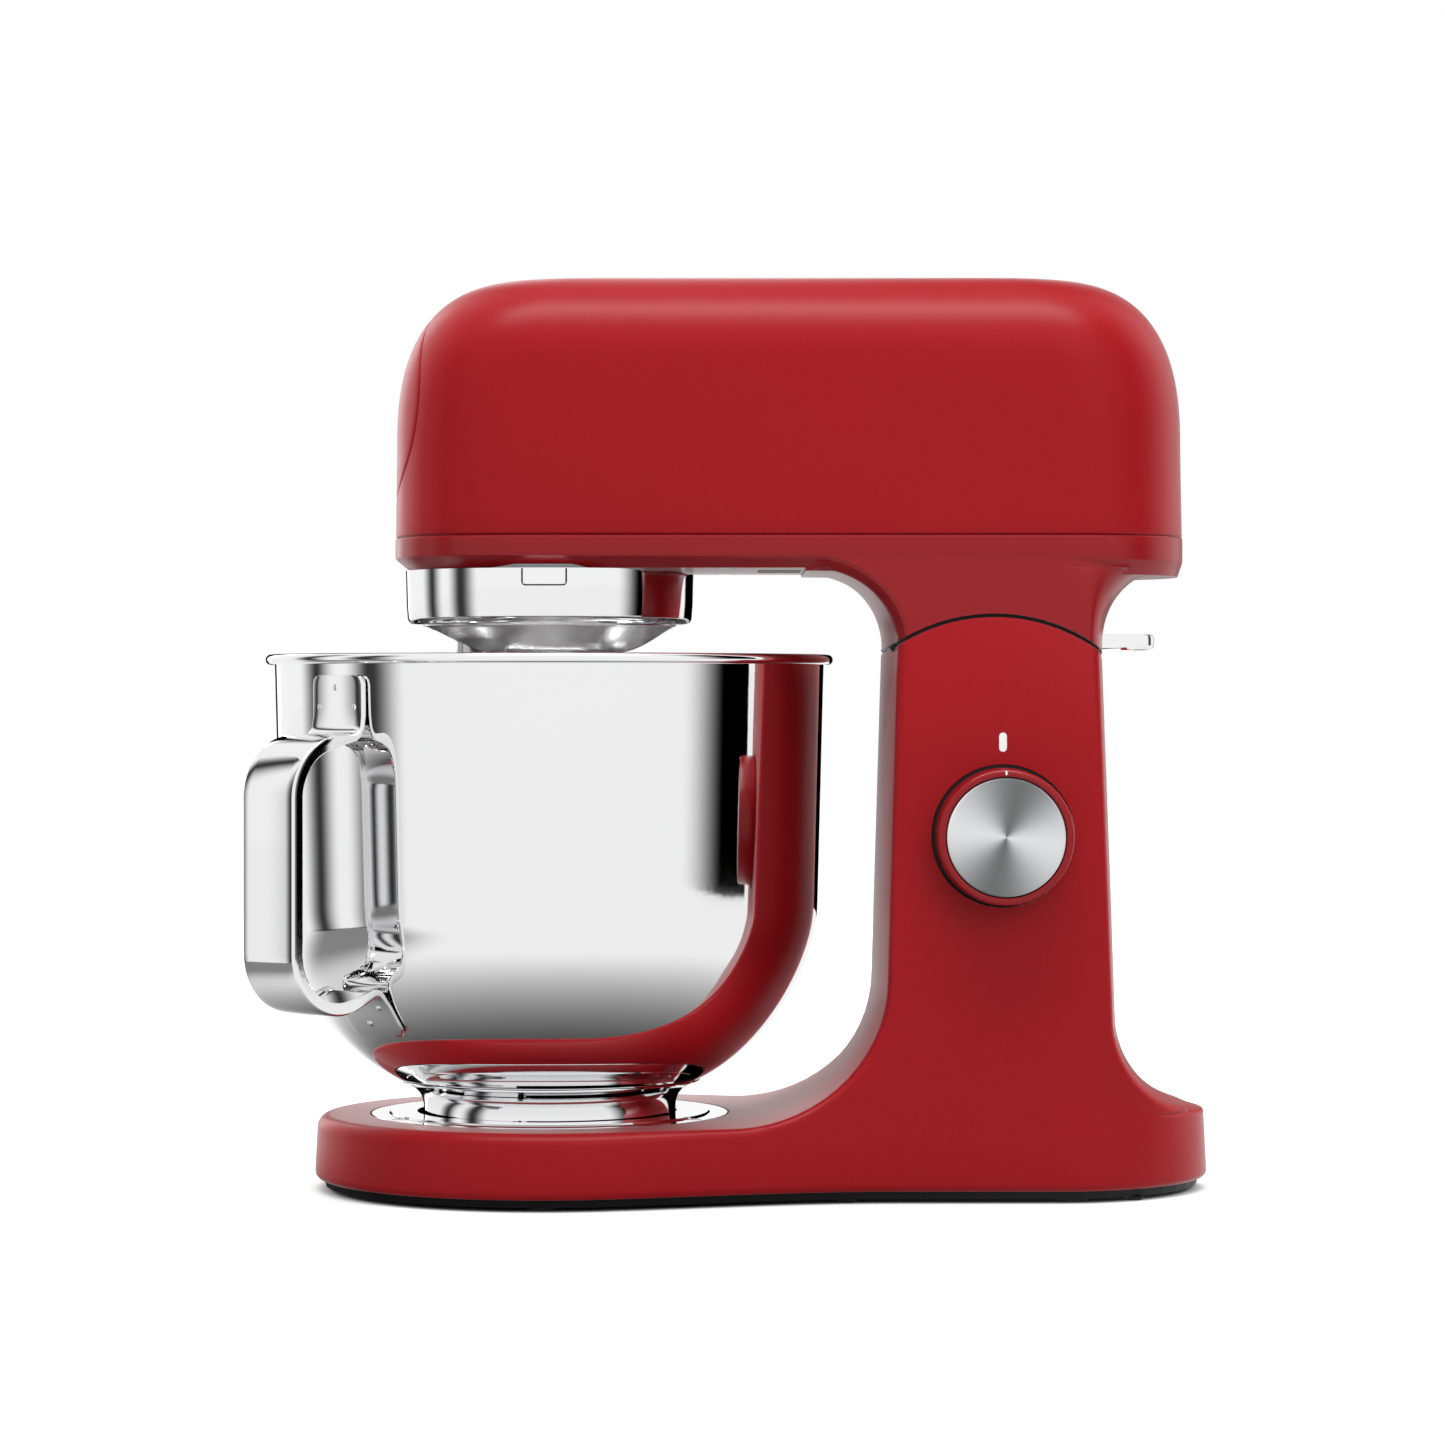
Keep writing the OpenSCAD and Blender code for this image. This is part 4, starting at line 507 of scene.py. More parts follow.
def build_casing():
    # Height and inset of each ring: up the lip's slope, then up the side to the seam's edge
    levels = around(UNDER_Z, 0, [(0, 5.5), (0.12, 5.05), (0.6, 4.45)])
    levels += around(LIP_Z, 0, [(-0.5, 0.55), (0, 0.12), (0.7, 0)])
    levels += around(SEAM_Z, 0, [(-1.0, 0), (-0.55, 0.12), (-0.3, 0.4), (-0.1, 0.85)])
    rings = []
    for z, d in levels:
        # The rear end reaches lower, with a finer edge
        half = oval(-NOSE - 0.2 + d, TAIL + 0.2 - d * 0.35, HEAD_HW - d, END_LEN - d * 0.4, PLAN_N, z)
        low = TAIL_DROP * min(1, max(0, (240 - z) / (240 - UNDER_Z)))
        rings.append([(x, y, z - low * smoothstep((x - 130) / 80)) for x, y, z in half])
    casing = loft("lower_casing", rings)
    carve(casing, [block("flat", -NOSE - 9, -99, UNDER_Z - 9, 95, 99, UNDER_Z)])
    low, w = SEAM_R + SEAM_GAP, HEAD_HW - 0.02
    rings = [[(x, y, arc_z(x, low)) for x, y, z in neck_half(0, w)]]
    for k in range(1, 31):
        half = neck_half(radians(3 * k), w)
        rings.append([(x, y, max(z, arc_z(x, low) + 0.03 * k)) for x, y, z in half])
    rings.append([(x + (1 if x < 150 else -1), y, max(z + 2, 236.5))
                  for x, y, z in neck_half(pi / 2, w)])
    carve(casing, [loft("neck", rings)], operation="UNION")
    slot_z, slot_hw = LEVER_Z - LEVER_T / 2, LEVER_HW + 0.8
    cutters = [
        block("hollow", HINGE_X - 34, -44.5, HINGE_Z, HINGE_X + 37, 44.5, 236),
        block("lever_slot", HINGE_X + 30, -slot_hw, slot_z - 0.6, HINGE_X + 70, slot_hw, slot_z + 11.5),
        block("vent", 78, -20, 228, 94, 20, 231.4),
        plug("seat", HUB_R - 3.6, UNDER_Z - 5, UNDER_Z + 1.5, 96),
    ]
    for y in (-42, 42):
        cutters.append(plug("hole", 4, 205, 231.7, 32))
        about_z(cutters[-1], 66, y)
    carve(casing, cutters, crease=14)
    place(casing, casing_paint, "head", "head_casing")


# ---- Stand ----
def stand_hw(z):
    return TAIL_HW - (TAIL_HW - HEAD_HW) * min(1, (z - BASE_LOW) / (TAPER_Z - BASE_LOW))


def base_hw(x, r, w):
    """Half width of the base: the bowl end's circle, a smooth flank, then the tail's width w."""
    if x < FLANK_X0:
        return sqrt(r * r - x * x)
    if x > FLANK_X1:
        return w
    w0, t = sqrt(r * r - FLANK_X0 ** 2), (x - FLANK_X0) / (FLANK_X1 - FLANK_X0)
    slope = -FLANK_X0 / w0 * (FLANK_X1 - FLANK_X0)
    a, b, c = 2 * t ** 3 - 3 * t * t + 1, t ** 3 - 2 * t * t + t, 3 * t * t - 2 * t ** 3
    return a * w0 + b * slope + c * w


# The column's edge radius, and the points over its front, each edge and each flank
EDGE_R, MIDS, ROUNDS, FLANKS = 3.0, 33, 8, 30


def smoothstep(t):
    t = min(1.0, max(0.0, t))
    return t * t * (3 - 2 * t)


def side_y(x, z):
    """Half width of the stand at (x, z); the base's rounded rear end fades out up the column."""
    draft = DRAFT * (z - BASE_LOW)
    w, r = stand_hw(z), BASE_R - draft
    if x <= FLANK_X1:
        return base_hw(x, r, w)
    u = max(0.0, (x - (BASE_REAR - draft - REAR_LEN)) / REAR_LEN)
    return w * (1 - (1 - smoothstep((z - 31) / 45)) * (1 - superround(min(1, u), REAR_N)))


def edge_reach(q, radius, slope):
    """How far behind a fillet's surface, at one height, a point lies q under that surface."""
    return sqrt((radius + q) ** 2 - radius ** 2 * (1 - slope ** 2)) - radius * slope


def edge_inset(x, z):
    """How far the rounded edge under the front's top surface steps in at (x, z)."""
    cx = COL_FRONT - FRONT_R
    q = BASE_TOP - z if x < cx else hypot(x - cx, z - FRONT_CZ) - FRONT_R
    r = BASE_EDGE - (BASE_EDGE - EDGE_R) * min(1, max(0, (x - FLANK_X0) / 40))
    return r - sqrt(r * r - (r - max(0, q)) ** 2) if q < r and x < COL_FRONT else 0.0


def base_half(z, d, s, lift=0.0, back=0.0):
    """Half outline of the base, inset by d, the front's edge stepped in by s.

    lift raises the rear and back draws it in, for the rings that meet the fillet."""
    draft = DRAFT * (z - BASE_LOW)
    r, w, l = BASE_R - draft - d, stand_hw(z) - d, REAR_LEN - d
    sweep, end = pi / 2 + asin(FLANK_X0 / r), BASE_REAR - draft - d - l
    half = [(-(r - s) * cos(sweep * i / 24), (r - s) * sin(sweep * i / 24), z) for i in range(25)]
    first = COL_FRONT - FRONT_R + 2.7
    last = COL_REAR + REAR_R * (1 - sin(radians(REAR_FOOT))) - d
    steps = [EDGE_R * (1 - cos(pi / 2 * k / ROUNDS)) for k in range(1, ROUNDS + 1)]
    xs = [FLANK_X0 + (first - 4 - FLANK_X0) * i / 8 for i in range(1, 9)]
    xs += [first + edge_reach(q, FRONT_R, FRONT_SLOPE) for q in steps]
    ends = [last - edge_reach(q, REAR_R, REAR_SLOPE) for q in steps[::-1]]
    xs += [xs[-1] + (ends[0] - xs[-1]) * i / (FLANKS + 1) for i in range(1, FLANKS + 1)]
    for x in xs:
        u = max(0.0, (x - end) / l)
        y = base_hw(x, r, w) if x <= FLANK_X1 else w * superround(min(1, u), REAR_N)
        rise = lift * smoothstep((x - 150) / 60)
        half.append((x, y - (edge_inset(x, z) if s or lift else 0), z + rise))
    ts = [acos(power((x - end) / l, REAR_N / 2)) for x in ends + [last]]
    ts += [ts[-1] * (1 - i / (MIDS - 1)) for i in range(1, MIDS)]
    for t in ts:
        c, q = power(cos(t), 2 / REAR_N), power(sin(t), 2 / REAR_N)
        half.append((end + (l - back) * c, w * q, z + lift))
    return half


def cut_half(xf, zf, sf, xr, zr, sr, d):
    """Outline of the stand between its front and rear surfaces; sf and sr are the sines of their slopes."""
    def z_at(x):
        return zf + (zr - zf) * (x - xf) / (xr - xf)

    def corner(x_end, way, slope, z, radius):
        edge = EDGE_R if d == 0 else 1.5
        w, bow = side_y(x_end, z) - d, COL_BOW * slope
        tilt = atan2(bow * BOW_N / (w - edge), 1)
        points = [(x_end + way * bow * (k / (MIDS - 1)) ** BOW_N, (w - edge) * k / (MIDS - 1))
                  for k in range(MIDS)]
        for k in range(1, ROUNDS + 1):
            t = tilt + (pi / 2 - tilt) * k / ROUNDS
            x = x_end + way * (bow + edge_reach(edge * (cos(tilt) - cos(t)), radius, slope))
            step = edge * (1 - (sin(t) - sin(tilt)) / (1 - sin(tilt)))
            points.append((x, side_y(x, z_at(x)) - d - step))
        return points

    front, rear = corner(xf, 1, sf, zf, FRONT_R), corner(xr, -1, sr, zr, REAR_R)
    x0, x1 = front[-1][0], rear[-1][0]
    xs = [x0 + (x1 - x0) * i / (FLANKS + 1) for i in range(1, FLANKS + 1)]
    flank = [(x, side_y(x, z_at(x)) - d, z_at(x)) for x in xs]
    front = [(x, y, zf if k < MIDS else z_at(x)) for k, (x, y) in enumerate(front)]
    rear = [(x, y, zr if k < MIDS else z_at(x)) for k, (x, y) in enumerate(rear)]
    return front + flank + rear[::-1]


def fillet_half(a, d):
    """Half ring where the base sweeps up into the column, at front angle a."""
    b = REAR_START + (pi / 2 - REAR_START) * a / (pi / 2)
    return cut_half(COL_FRONT - FRONT_R + (FRONT_R + d) * sin(a), FRONT_CZ - (FRONT_R + d) * cos(a),
                    sin(a), COL_REAR + REAR_R - (REAR_R + d) * sin(b),
                    REAR_CZ - (REAR_R + d) * cos(b), sin(b), d)


def straight_half(z, d):
    front = COL_FRONT + COL_LEAN * max(0, z - FRONT_CZ) / (TAPER_Z - FRONT_CZ)
    rear = COL_REAR - REAR_LEAN * max(0, z - REAR_CZ) / (TAPER_Z - REAR_CZ)
    return cut_half(front + d, z, 1, rear - d, z, 1, d)


def arched_half(r, d):
    return [(x, y, arc_z(x, r)) for x, y, z in straight_half(TAPER_Z - 6, d)]


def seam_shade_strip(name, angles, y0, y1):
    """A black strip of painted shade in the seam round the hinge."""
    outer = arc(HINGE_X, HINGE_Z, SEAM_R + SEAM_GAP - 0.2, angles)
    inner = arc(HINGE_X, HINGE_Z, SEAM_R - 0.6, angles[::-1])
    place(prism_y(name, outer + inner, y0, y1), plastic_and_shade, "stand")


def build_stand():
    outer = [base_half(BASE_LOW + z, d, 0) for z, d in ((0, 2), (0.3, 1.3), (1, 0.6), (1.8, 0.15), (2.8, 0))]
    outer += [base_half(BASE_TOP - BASE_EDGE * (1 - sin(radians(a))), 0, BASE_EDGE * (1 - cos(radians(a))))
              for a in range(0, 91, 9)]
    outer += [base_half(BASE_TOP, 0, BASE_EDGE, lift, back)
              for lift, back in ((0.9, 0.1), (1.5, 0.35), (2.0, 0.8), (2.3, 1.5))]
    outer += [fillet_half(radians(a), 0) for a in (3, 6, 10, 14, 19, *range(24, 91, 6))]
    outer += [straight_half(z, 0) for z in (100, 120, 140, 160)]
    outer += [[(x, y, z - 0.8) for x, y, z in arched_half(SEAM_R, 0)],
              [(x, y, z - 0.25) for x, y, z in arched_half(SEAM_R, 0.2)],
              arched_half(SEAM_R, 0.8)]
    inner = [base_half(BASE_LOW, 6, 0), base_half(BASE_LOW + 3, STAND_T, 0),
             base_half(BASE_TOP - 4.4, STAND_T, 0)]
    inner += [fillet_half(radians(a), STAND_T) for a in (15, 30, 45, 60, 90)]
    inner += [straight_half(110, STAND_T), straight_half(150, STAND_T), arched_half(SEAM_R - 5, STAND_T)]
    stand = shell("stand_body", outer, inner)
    face, lamp_face = -stand_hw(KNOB_Z), -stand_hw(LAMP_Z)
    half = (LAMP_H - LAMP_W) / 2
    slot = arc(KNOB_X, LAMP_Z + half, LAMP_W / 2, range(0, 181, 12))
    slot += arc(KNOB_X, LAMP_Z - half, LAMP_W / 2, range(180, 361, 12))
    cutters = [
        prism_y("recess", circle(KNOB_X, KNOB_Z, KNOB_R + 1.2), face - 5, face + 2),
        prism_y("shaft_hole", circle(KNOB_X, KNOB_Z, 4.2, 32), face - 5, face + 8),
        prism_y("lamp_slot", slot, lamp_face - 5, lamp_face + 8),
        plug("seat", SEAT_R, BASE_TOP - SEAT_DEEP, 40, 160),
        plug("cup", RING_R + 4.4, BASE_TOP - CUP_DEEP, 38, 128),
    ]
    outline = [(HINGE_X, HINGE_Z + 8)]
    outline += arc(HINGE_X, HINGE_Z, ARM_REACH, [ARM_FROM + (ARM_TO - ARM_FROM) * k / 8 for k in range(9)])
    for y in (-ARM_Y, ARM_Y):
        cutters.append(prism_y("arm_slot", outline, y - ARM_HW, y + ARM_HW))
    inlet = plug("inlet", 5.5, -10, 30, 48)
    lay_down(inlet, (BASE_REAR - 10, 0, 14), "Y")
    carve(stand, cutters + [inlet])
    place(stand, paint, "stand", "stand_casting")
    # Painted shade in the seam, as black strips under the neck's walls along the seam's two sides, and across
    # its front
    sides = [54.5 + 68.5 * k / 30 for k in range(31)]
    seam_shade_strip("left_seam_shade_strip", sides, -SEAM_SHADE_IN, -SEAM_SHADE_OUT)
    seam_shade_strip("right_seam_shade_strip", sides, SEAM_SHADE_IN, SEAM_SHADE_OUT)
    seam_shade_strip("front_seam_shade_strip", [121.8 + 3.6 * k / 4 for k in range(5)], -SEAM_SHADE_IN, SEAM_SHADE_IN)


# ---- Bowl ----
def bowl_r(z):
    """The bowl's outer radius at height z."""
    if z >= BELLY_Z:
        return BELLY_R + (WALL_R - BELLY_R) * (z - BELLY_Z) / (RIM_Z - BEAD_R - BELLY_Z)
    return BOTTOM_R + (BELLY_R - BOTTOM_R) * superround((BELLY_Z - z) / (BELLY_Z - BOWL_Z), BELLY_N)


def bowl_under(r):
    """Height of the bowl's underside at radius r."""
    u = max(0.0, (r - BOTTOM_R) / (BELLY_R - BOTTOM_R))
    return BELLY_Z - (BELLY_Z - BOWL_Z) * superround(u, BELLY_N)


def build_bowl():
    levels = [BOWL_Z + (BELLY_Z - BOWL_Z) * (k / 44) ** 1.9 for k in range(45)] + [130, 155, 178, 190]
    outer = [(0, BOWL_Z), (BOTTOM_R * 0.6, BOWL_Z)] + [(bowl_r(z), z) for z in levels]
    bead_z = RIM_Z - BEAD_R
    bead = arc(RIM_R - BEAD_R, bead_z, BEAD_R, range(218, 451, 8))
    lip = [(WALL_R - 0.2, RIM_Z), (WALL_R - 0.8, RIM_Z - 0.25), (WALL_R - BOWL_T, RIM_Z - 1)]

    def inside(z):
        rise = max(0.0, 1 - (z - BOWL_Z) / 40)
        return bowl_r(z) - BOWL_T * (0.2 + 0.8 * min(1, (z - BOWL_Z) / 40)), z + BOWL_T * rise

    inner = [inside(z) for z in levels[::-1]] + [(BOTTOM_R * 0.6, BOWL_Z + BOWL_T), (0, BOWL_Z + BOWL_T)]
    bowl = lathe("bowl_wall", outer + [(WALL_R, bead_z - 1.4)] + bead + lip + inner, 256, closed=False)
    place(bowl, mirror_steel, "bowl", "bowl_shell")


def build_foot():
    ring, top = RING_R, RING_R + 9.4

    def under(r, drop):
        return r, bowl_under(r) - 0.15 - drop

    outer = around(ring, 0, [(0, 21.8), (0.1, 22.2), (0.1, 26), (0, 29.4), (0.1, 31.2), (0.5, 33),
                             (1.3, 34.9), (2.6, 36.5), (4.4, 37.9), (6.6, 39)])
    edge = around(top, 0, [(-0.8, 39.7), (-0.2, 39.9), (0, 40.2)])
    edge += [under(top - 0.1, 0.02), under(top - 0.6, 0)]
    inner = [under(top - 3, 0), under(top - 6, 0), under(ring, 2.2), under(ring - 1, 4.2), (ring - 1.6, 28.6),
             (ring - 1.6, 21.8)]
    foot = lathe("foot_collar", outer + edge + inner, 192)
    place(foot, chrome, "bowl", "bowl_foot")


def strap_line():
    """Centre line of the strap in the handle's plane, as (radius, height), from the upper plate down."""
    plate, turn = WALL_R + STRAP_T / 2 + 0.15, 4.0
    grip = GRIP_R - STRAP_T / 2 - STRAP_BEND
    line = [(plate - 0.25 * (PLATE_TOP - z) / 20 + 0.1, z)
            for z in (191, 190.4, 189.2, 187.5, 184, 180, 176.5)]
    line += arc(plate + turn, ARM_TOP + turn, turn, range(180, 271, 10))
    line += arc(grip, ARM_TOP - STRAP_BEND, STRAP_BEND, range(90, -1, -5))
    line += arc(grip, ARM_LOW + STRAP_BEND, STRAP_BEND, range(0, -111, -5))
    low = [(bowl_r(z) + 1.55, z) for z in (72, 69, 66, 64, 62.6, 61.6, 61.0)]
    fold = Vector((bowl_r(77.6) + 2.4, 77.4))
    start, stop = Vector(line[-1]) * 0.25 + fold * 0.75, Vector(low[0]) * 0.55 + fold * 0.45
    return line + bend(start, fold, stop, 8) + low


def build_handle():
    line = [Vector(p) for p in strap_line()]
    length = [0.0]
    for a, b in zip(line, line[1:]):
        length.append(length[-1] + (b - a).length)
    total, corner, round_r, half_t = length[-1], STRAP_CORNER, STRAP_EDGE, STRAP_T / 2
    away = Vector(arc(0, 0, 1, [HANDLE_ANGLE])[0])
    side = Vector((-away.y, away.x))
    points = []
    for i, p in enumerate(line):
        a, b = line[max(0, i - 1)], line[min(len(line) - 1, i + 1)]
        run = (b - a).normalized()
        out = Vector((-run.y, run.x))
        from_top, from_low = length[i], total - length[i]
        tip = min(from_top, from_low)
        hw = STRAP_HW
        if tip <= corner:
            hw = STRAP_HW - corner + sqrt(max(0, corner ** 2 - (corner - tip) ** 2))
        # How far the section follows the bowl's wall: fully on the plates, not at all on the loop
        near = 0
        if from_top < 40:
            near = 1 - min(1, max(0, from_top - 14) / 8)
        elif from_low < 24:
            near = 1 - min(1, max(0, from_low - 12) / 6)
        # The edges turn in towards the bowl along the loop, and lie flat on the plates
        share = min(1, max(0, (from_top - 20) / 14)) * min(1, max(0, (from_low - 16) / 12))
        low = -half_t - STRAP_FLANGE * share
        half = [(t * (hw - round_r), half_t) for t in (0, 0.25, 0.5, 0.75)]
        half += [(hw - round_r + round_r * sin(v), half_t - round_r * (1 - cos(v)))
                 for v in map(radians, (0, 22, 45, 68, 90))]
        half.append((hw, (half_t - round_r + low + 0.6) / 2))
        half += around(hw, low, [(0, 0.5), (-0.25, 0.12), (-0.8, 0), (-1.35, 0.12 * share),
                                 (-1.6, 0.5 * share)])
        half += around(hw, -half_t, [(-1.65, -0.35 * share), (-2.1, 0)])
        half += [(t * (hw - 2.4), -half_t) for t in (0.75, 0.5, 0.25, 0)]
        section = half + [(-t, v) for t, v in half[-2:0:-1]]
        for t, v in section:
            if v > 0:
                v -= 0.3 * (t / hw) ** 2 * share
            r = p.x + out.x * v
            r -= near * (r - sqrt(max(1, r * r - t * t)))
            xy = away * r + side * t
            points.append((xy.x, xy.y, p.y + out.y * v))
    n, rows = len(section), len(line)
    faces = wall_faces(n, rows) + [tuple(range(n)), tuple(range((rows - 1) * n, rows * n))]
    strap = solid("handle_strap", points, faces)
    place(strap, strap_steel, "bowl", "bowl_handle")


def build_rivets():
    """Three rivet heads on each plate, as (angle from the handle's plane, height)."""
    upper = [(0, PLATE_TOP - 4.3), (-5.2, PLATE_TOP - 11.4), (5.2, PLATE_TOP - 11.4)]
    lower = [(-5.6, 71.8), (5.6, 71.8), (0, 65.5)]
    profile = [(0, -3.4), (1.3, -3.4), (1.3, -0.2), (1.5, -0.1), (1.46, 0.12), (1.26, 0.4), (0.9, 0.62),
               (0.46, 0.74), (0, 0.78)]
    points, faces, steps = [], [], 24
    for offset, z in upper + lower:
        slope, stand_off = (0, 1.9) if z > BELLY_Z else ((bowl_r(z + 1) - bowl_r(z - 1)) / 2, 2.35)
        a = radians(HANDLE_ANGLE + offset)
        out = Vector((cos(a), sin(a), -slope)).normalized()
        u = Vector((-sin(a), cos(a), 0))
        v = out.cross(u)
        foot = Vector((cos(a), sin(a), 0)) * (bowl_r(z) + stand_off) + Vector((0, 0, z))
        faces += wall_faces(steps, len(profile), len(points))
        for r, h in profile:
            for i in range(steps):
                t = 2 * pi * i / steps
                points.append(tuple(foot + out * h + (u * cos(t) + v * sin(t)) * r))
    rivets = solid("rivet_heads", points, faces)
    place(rivets, chrome, "bowl", "handle_rivets")


# ---- Hub ----
def build_hub_ring():
    ring = around(HUB_R, UNDER_Z, [(-1.8, -0.05), (0, -0.05), (0, -1)])
    ring += around(HUB_R, HUB_Z, [(-0.25, 8), (-0.6, 3)])
    ring += arc(HUB_R - 3.6, HUB_Z + 3, 3, range(-10, -91, -10))
    ring += around(DOME_R, HUB_Z, [(1.3, 0), (0.8, 0.2), (0.7, 0.7), (0.7, 2.4)])
    ring += around(HUB_R, HUB_Z, [(-3.2, 2.6), (-2.4, 5)])
    place(lathe("hub_chrome", ring, 224), chrome, "head", "hub_ring")


def hub_degrees(length):
    return length / HUB_R * 57.3


def build_catch_gap_shade():
    """Painted shade of the gap round the catch panel: a black band along a path of (degrees from the front,
    height).
    """
    half, low, corner = CATCH_HALF, CATCH_LOW, CATCH_CORNER
    path = [(-half, UNDER_Z - 0.3)]
    path += [(-half + hub_degrees(corner - corner * cos(t)), low + corner - corner * sin(t))
             for t in map(radians, range(0, 91, 15))]
    start, span = -half + hub_degrees(corner), 2 * half - hub_degrees(2 * corner)
    path += [(start + span * k / 12, low) for k in range(1, 12)]
    path += [(-a, z) for a, z in path[6::-1]] + [(half, UNDER_Z - 0.3)]
    r0, r1 = HUB_R - 0.3, HUB_R + 0.82
    points = []
    for i, (a, z) in enumerate(path):
        b, c = path[max(0, i - 1)], path[min(len(path) - 1, i + 1)]
        run = Vector(((c[0] - b[0]) * HUB_R / 57.3, c[1] - b[1])).normalized()
        for r, n in ((r0, -GAP_SHADE_W), (r1, -GAP_SHADE_W), (r1, GAP_SHADE_W), (r0, GAP_SHADE_W)):
            t = radians(270 + a - hub_degrees(run.y * n))
            points.append((r * cos(t), r * sin(t), z + run.x * n))
    ends = [(0, 1, 2, 3), tuple(range(len(points) - 4, len(points)))]
    place(solid("catch_gap_shade", points, wall_faces(4, len(path)) + ends), plastic_and_shade, "head")


def build_dome():
    """The turning dome: a shallow cone with two swirling lobes, and the tool's well."""
    steps, rings, points = 192, 44, []
    for k in range(rings + 1):
        r = DOME_R * (1 - k / rings)
        cone = min(1.0, max(0.0, (DOME_R - r) / (DOME_R - 25)))
        cone_z = HUB_Z - 0.4 - 9.6 * sin(pi / 2 * cone) ** 1.2
        fade = smoothstep((DOME_R - r) / 8) * smoothstep((r - 4) / 14)
        for i in range(steps):
            a = 2 * pi * i / steps
            turn = (a / pi - r / DOME_R * LOBE_SWEEP) % 1.0
            blade = turn / LOBE_RISE if turn < LOBE_RISE else smoothstep((1 - turn) / 0.18)
            z = cone_z + LOBE_H * (0.45 - blade) * fade
            x, y = r * cos(a), r * sin(a)
            well = hypot(x + ORBIT, y) - WELL_R
            z += WELL_RISE * min(1, max(0, 1 - well / WELL_EDGE))
            points.append((x, y, min(z, HUB_Z + 3.4) if well < WELL_EDGE else z))
    back = len(points)
    points += [(x, y, HUB_Z + 4) for x, y in circle(0, 0, DOME_R, steps)]
    faces = wall_faces(steps, rings + 1)
    faces += [(i, (i + 1) % steps, back + (i + 1) % steps, back + i) for i in range(steps)]
    faces.append(tuple(range(back, back + steps)))
    place(solid("hub_dome", points, faces, 38), dome_metal, "hub", "planet_carrier")


# ---- Knob and lever ----
def turned_y(name, profile):
    """A turned piece on the knob's axis; heights are distances from the centre plane towards -Y."""
    obj = lathe(name, profile, 160, closed=False)
    lay_down(obj, (KNOB_X, 0, KNOB_Z), "X")
    return obj


def build_knob():
    base, f = stand_hw(KNOB_Z) - 0.4, KNOB_FACE
    body = [(0, base)] + around(KNOB_R, base, [(-1.0, 0), (-0.4, 0.2), (0, 0.9)])
    body += around(KNOB_R, f, [(-0.2, -2.6), (-0.35, -1.7), (-0.75, -0.95), (-1.35, -0.55)])
    body += around(CAP_R, f, [(0.9, -0.5), (0.45, -0.7), (0.3, -1.2), (0.3, -3)]) + [(0, f - 3)]
    place(turned_y("knob_grip", body), knob_paint, "knob", "knob_body")
    cap = [(0, f - 2.95)]
    cap += around(CAP_R, f, [(0, -2.95), (0, -0.75), (-0.15, -0.35), (-0.6, -0.08), (-1.2, 0)])
    cap += [(CAP_R * 0.66, f - 0.02), (CAP_R * 0.33, f - 0.04), (0, f - 0.05)]
    place(turned_y("knob_disc", cap), cap_metal, "knob", "knob_cap")
    x0, x1, z = KNOB_X - 0.35, KNOB_X + 0.35, KNOB_Z + (KNOB_R + CAP_R) / 2 + 0.1
    mark = round_corners([(x0, z - 0.8), (x1, z - 0.8), (x1, z + 0.7), (x0, z + 0.7)], 0.3)
    place(prism_y("knob_mark", mark, -f + 0.43, -f + 0.8), lens, "knob")
    recess = [(0, base - 1.75)] + around(KNOB_R, base, [(1.1, -1.75), (1.1, -1.0), (0.5, -0.85)])
    recess.append((0, base - 0.85))
    place(turned_y("knob_well", recess), plastic_and_shade, "stand", "knob_bezel")


def build_lever():
    z0, z1, end, pin_z = LEVER_Z - LEVER_T / 2, LEVER_Z + LEVER_T / 2, LEVER_END, LEVER_PIN_Z
    outline = [(x, max(z0, arc_z(x, SEAM_R + 1.2))) for x in (189.5, 192.5, 195.5, 198.5, 201.5)]
    outline.append((210, z0 + 0.5))
    outline += around(end, z0, [(-6.5, 0.95), (-5.8, 0.1), (-5.0, 0), (-1.6, 0), (-0.5, 0.45), (0, 1.5)])
    outline += around(end, z1, [(0, -1.2), (-0.4, -0.35), (-1.3, 0)]) + [(204.5, z1), (200, z1 + 3.2)]
    outline += around(0, pin_z, [(194.5, 2.4), (188, 4), (184, 2.4), (183.4, -2), (186, -4.4)])
    corner = LEVER_CORNER
    ys = [LEVER_HW - corner + corner * sin(pi / 2 * k / 7) for k in range(8)]
    ys = [-y for y in ys[::-1]] + ys
    points, n = [], len(outline)
    for y in ys:
        over = max(0, abs(y) - LEVER_HW + corner)
        dx = corner - sqrt(max(0, corner ** 2 - over ** 2))
        points += [(x - dx * smoothstep((x - end + 12) / 6), y, z) for x, z in outline]
    ends = [tuple(range(n)), tuple(range((len(ys) - 1) * n, len(ys) * n))]
    lever = solid("lever_tongue", points, wall_faces(n, len(ys)) + ends)
    carve(lever, [prism_y("hole", circle(LEVER_X, pin_z, 2.05, 32), -20, 20)])
    soften(lever, 0.5)
    place(lever, chrome, "lever", "release_lever")


for build in (build_cover, build_casing, build_stand, build_bowl, build_foot, build_handle, build_rivets,
              build_hub_ring, build_catch_gap_shade, build_dome, build_knob, build_lever):
    build()

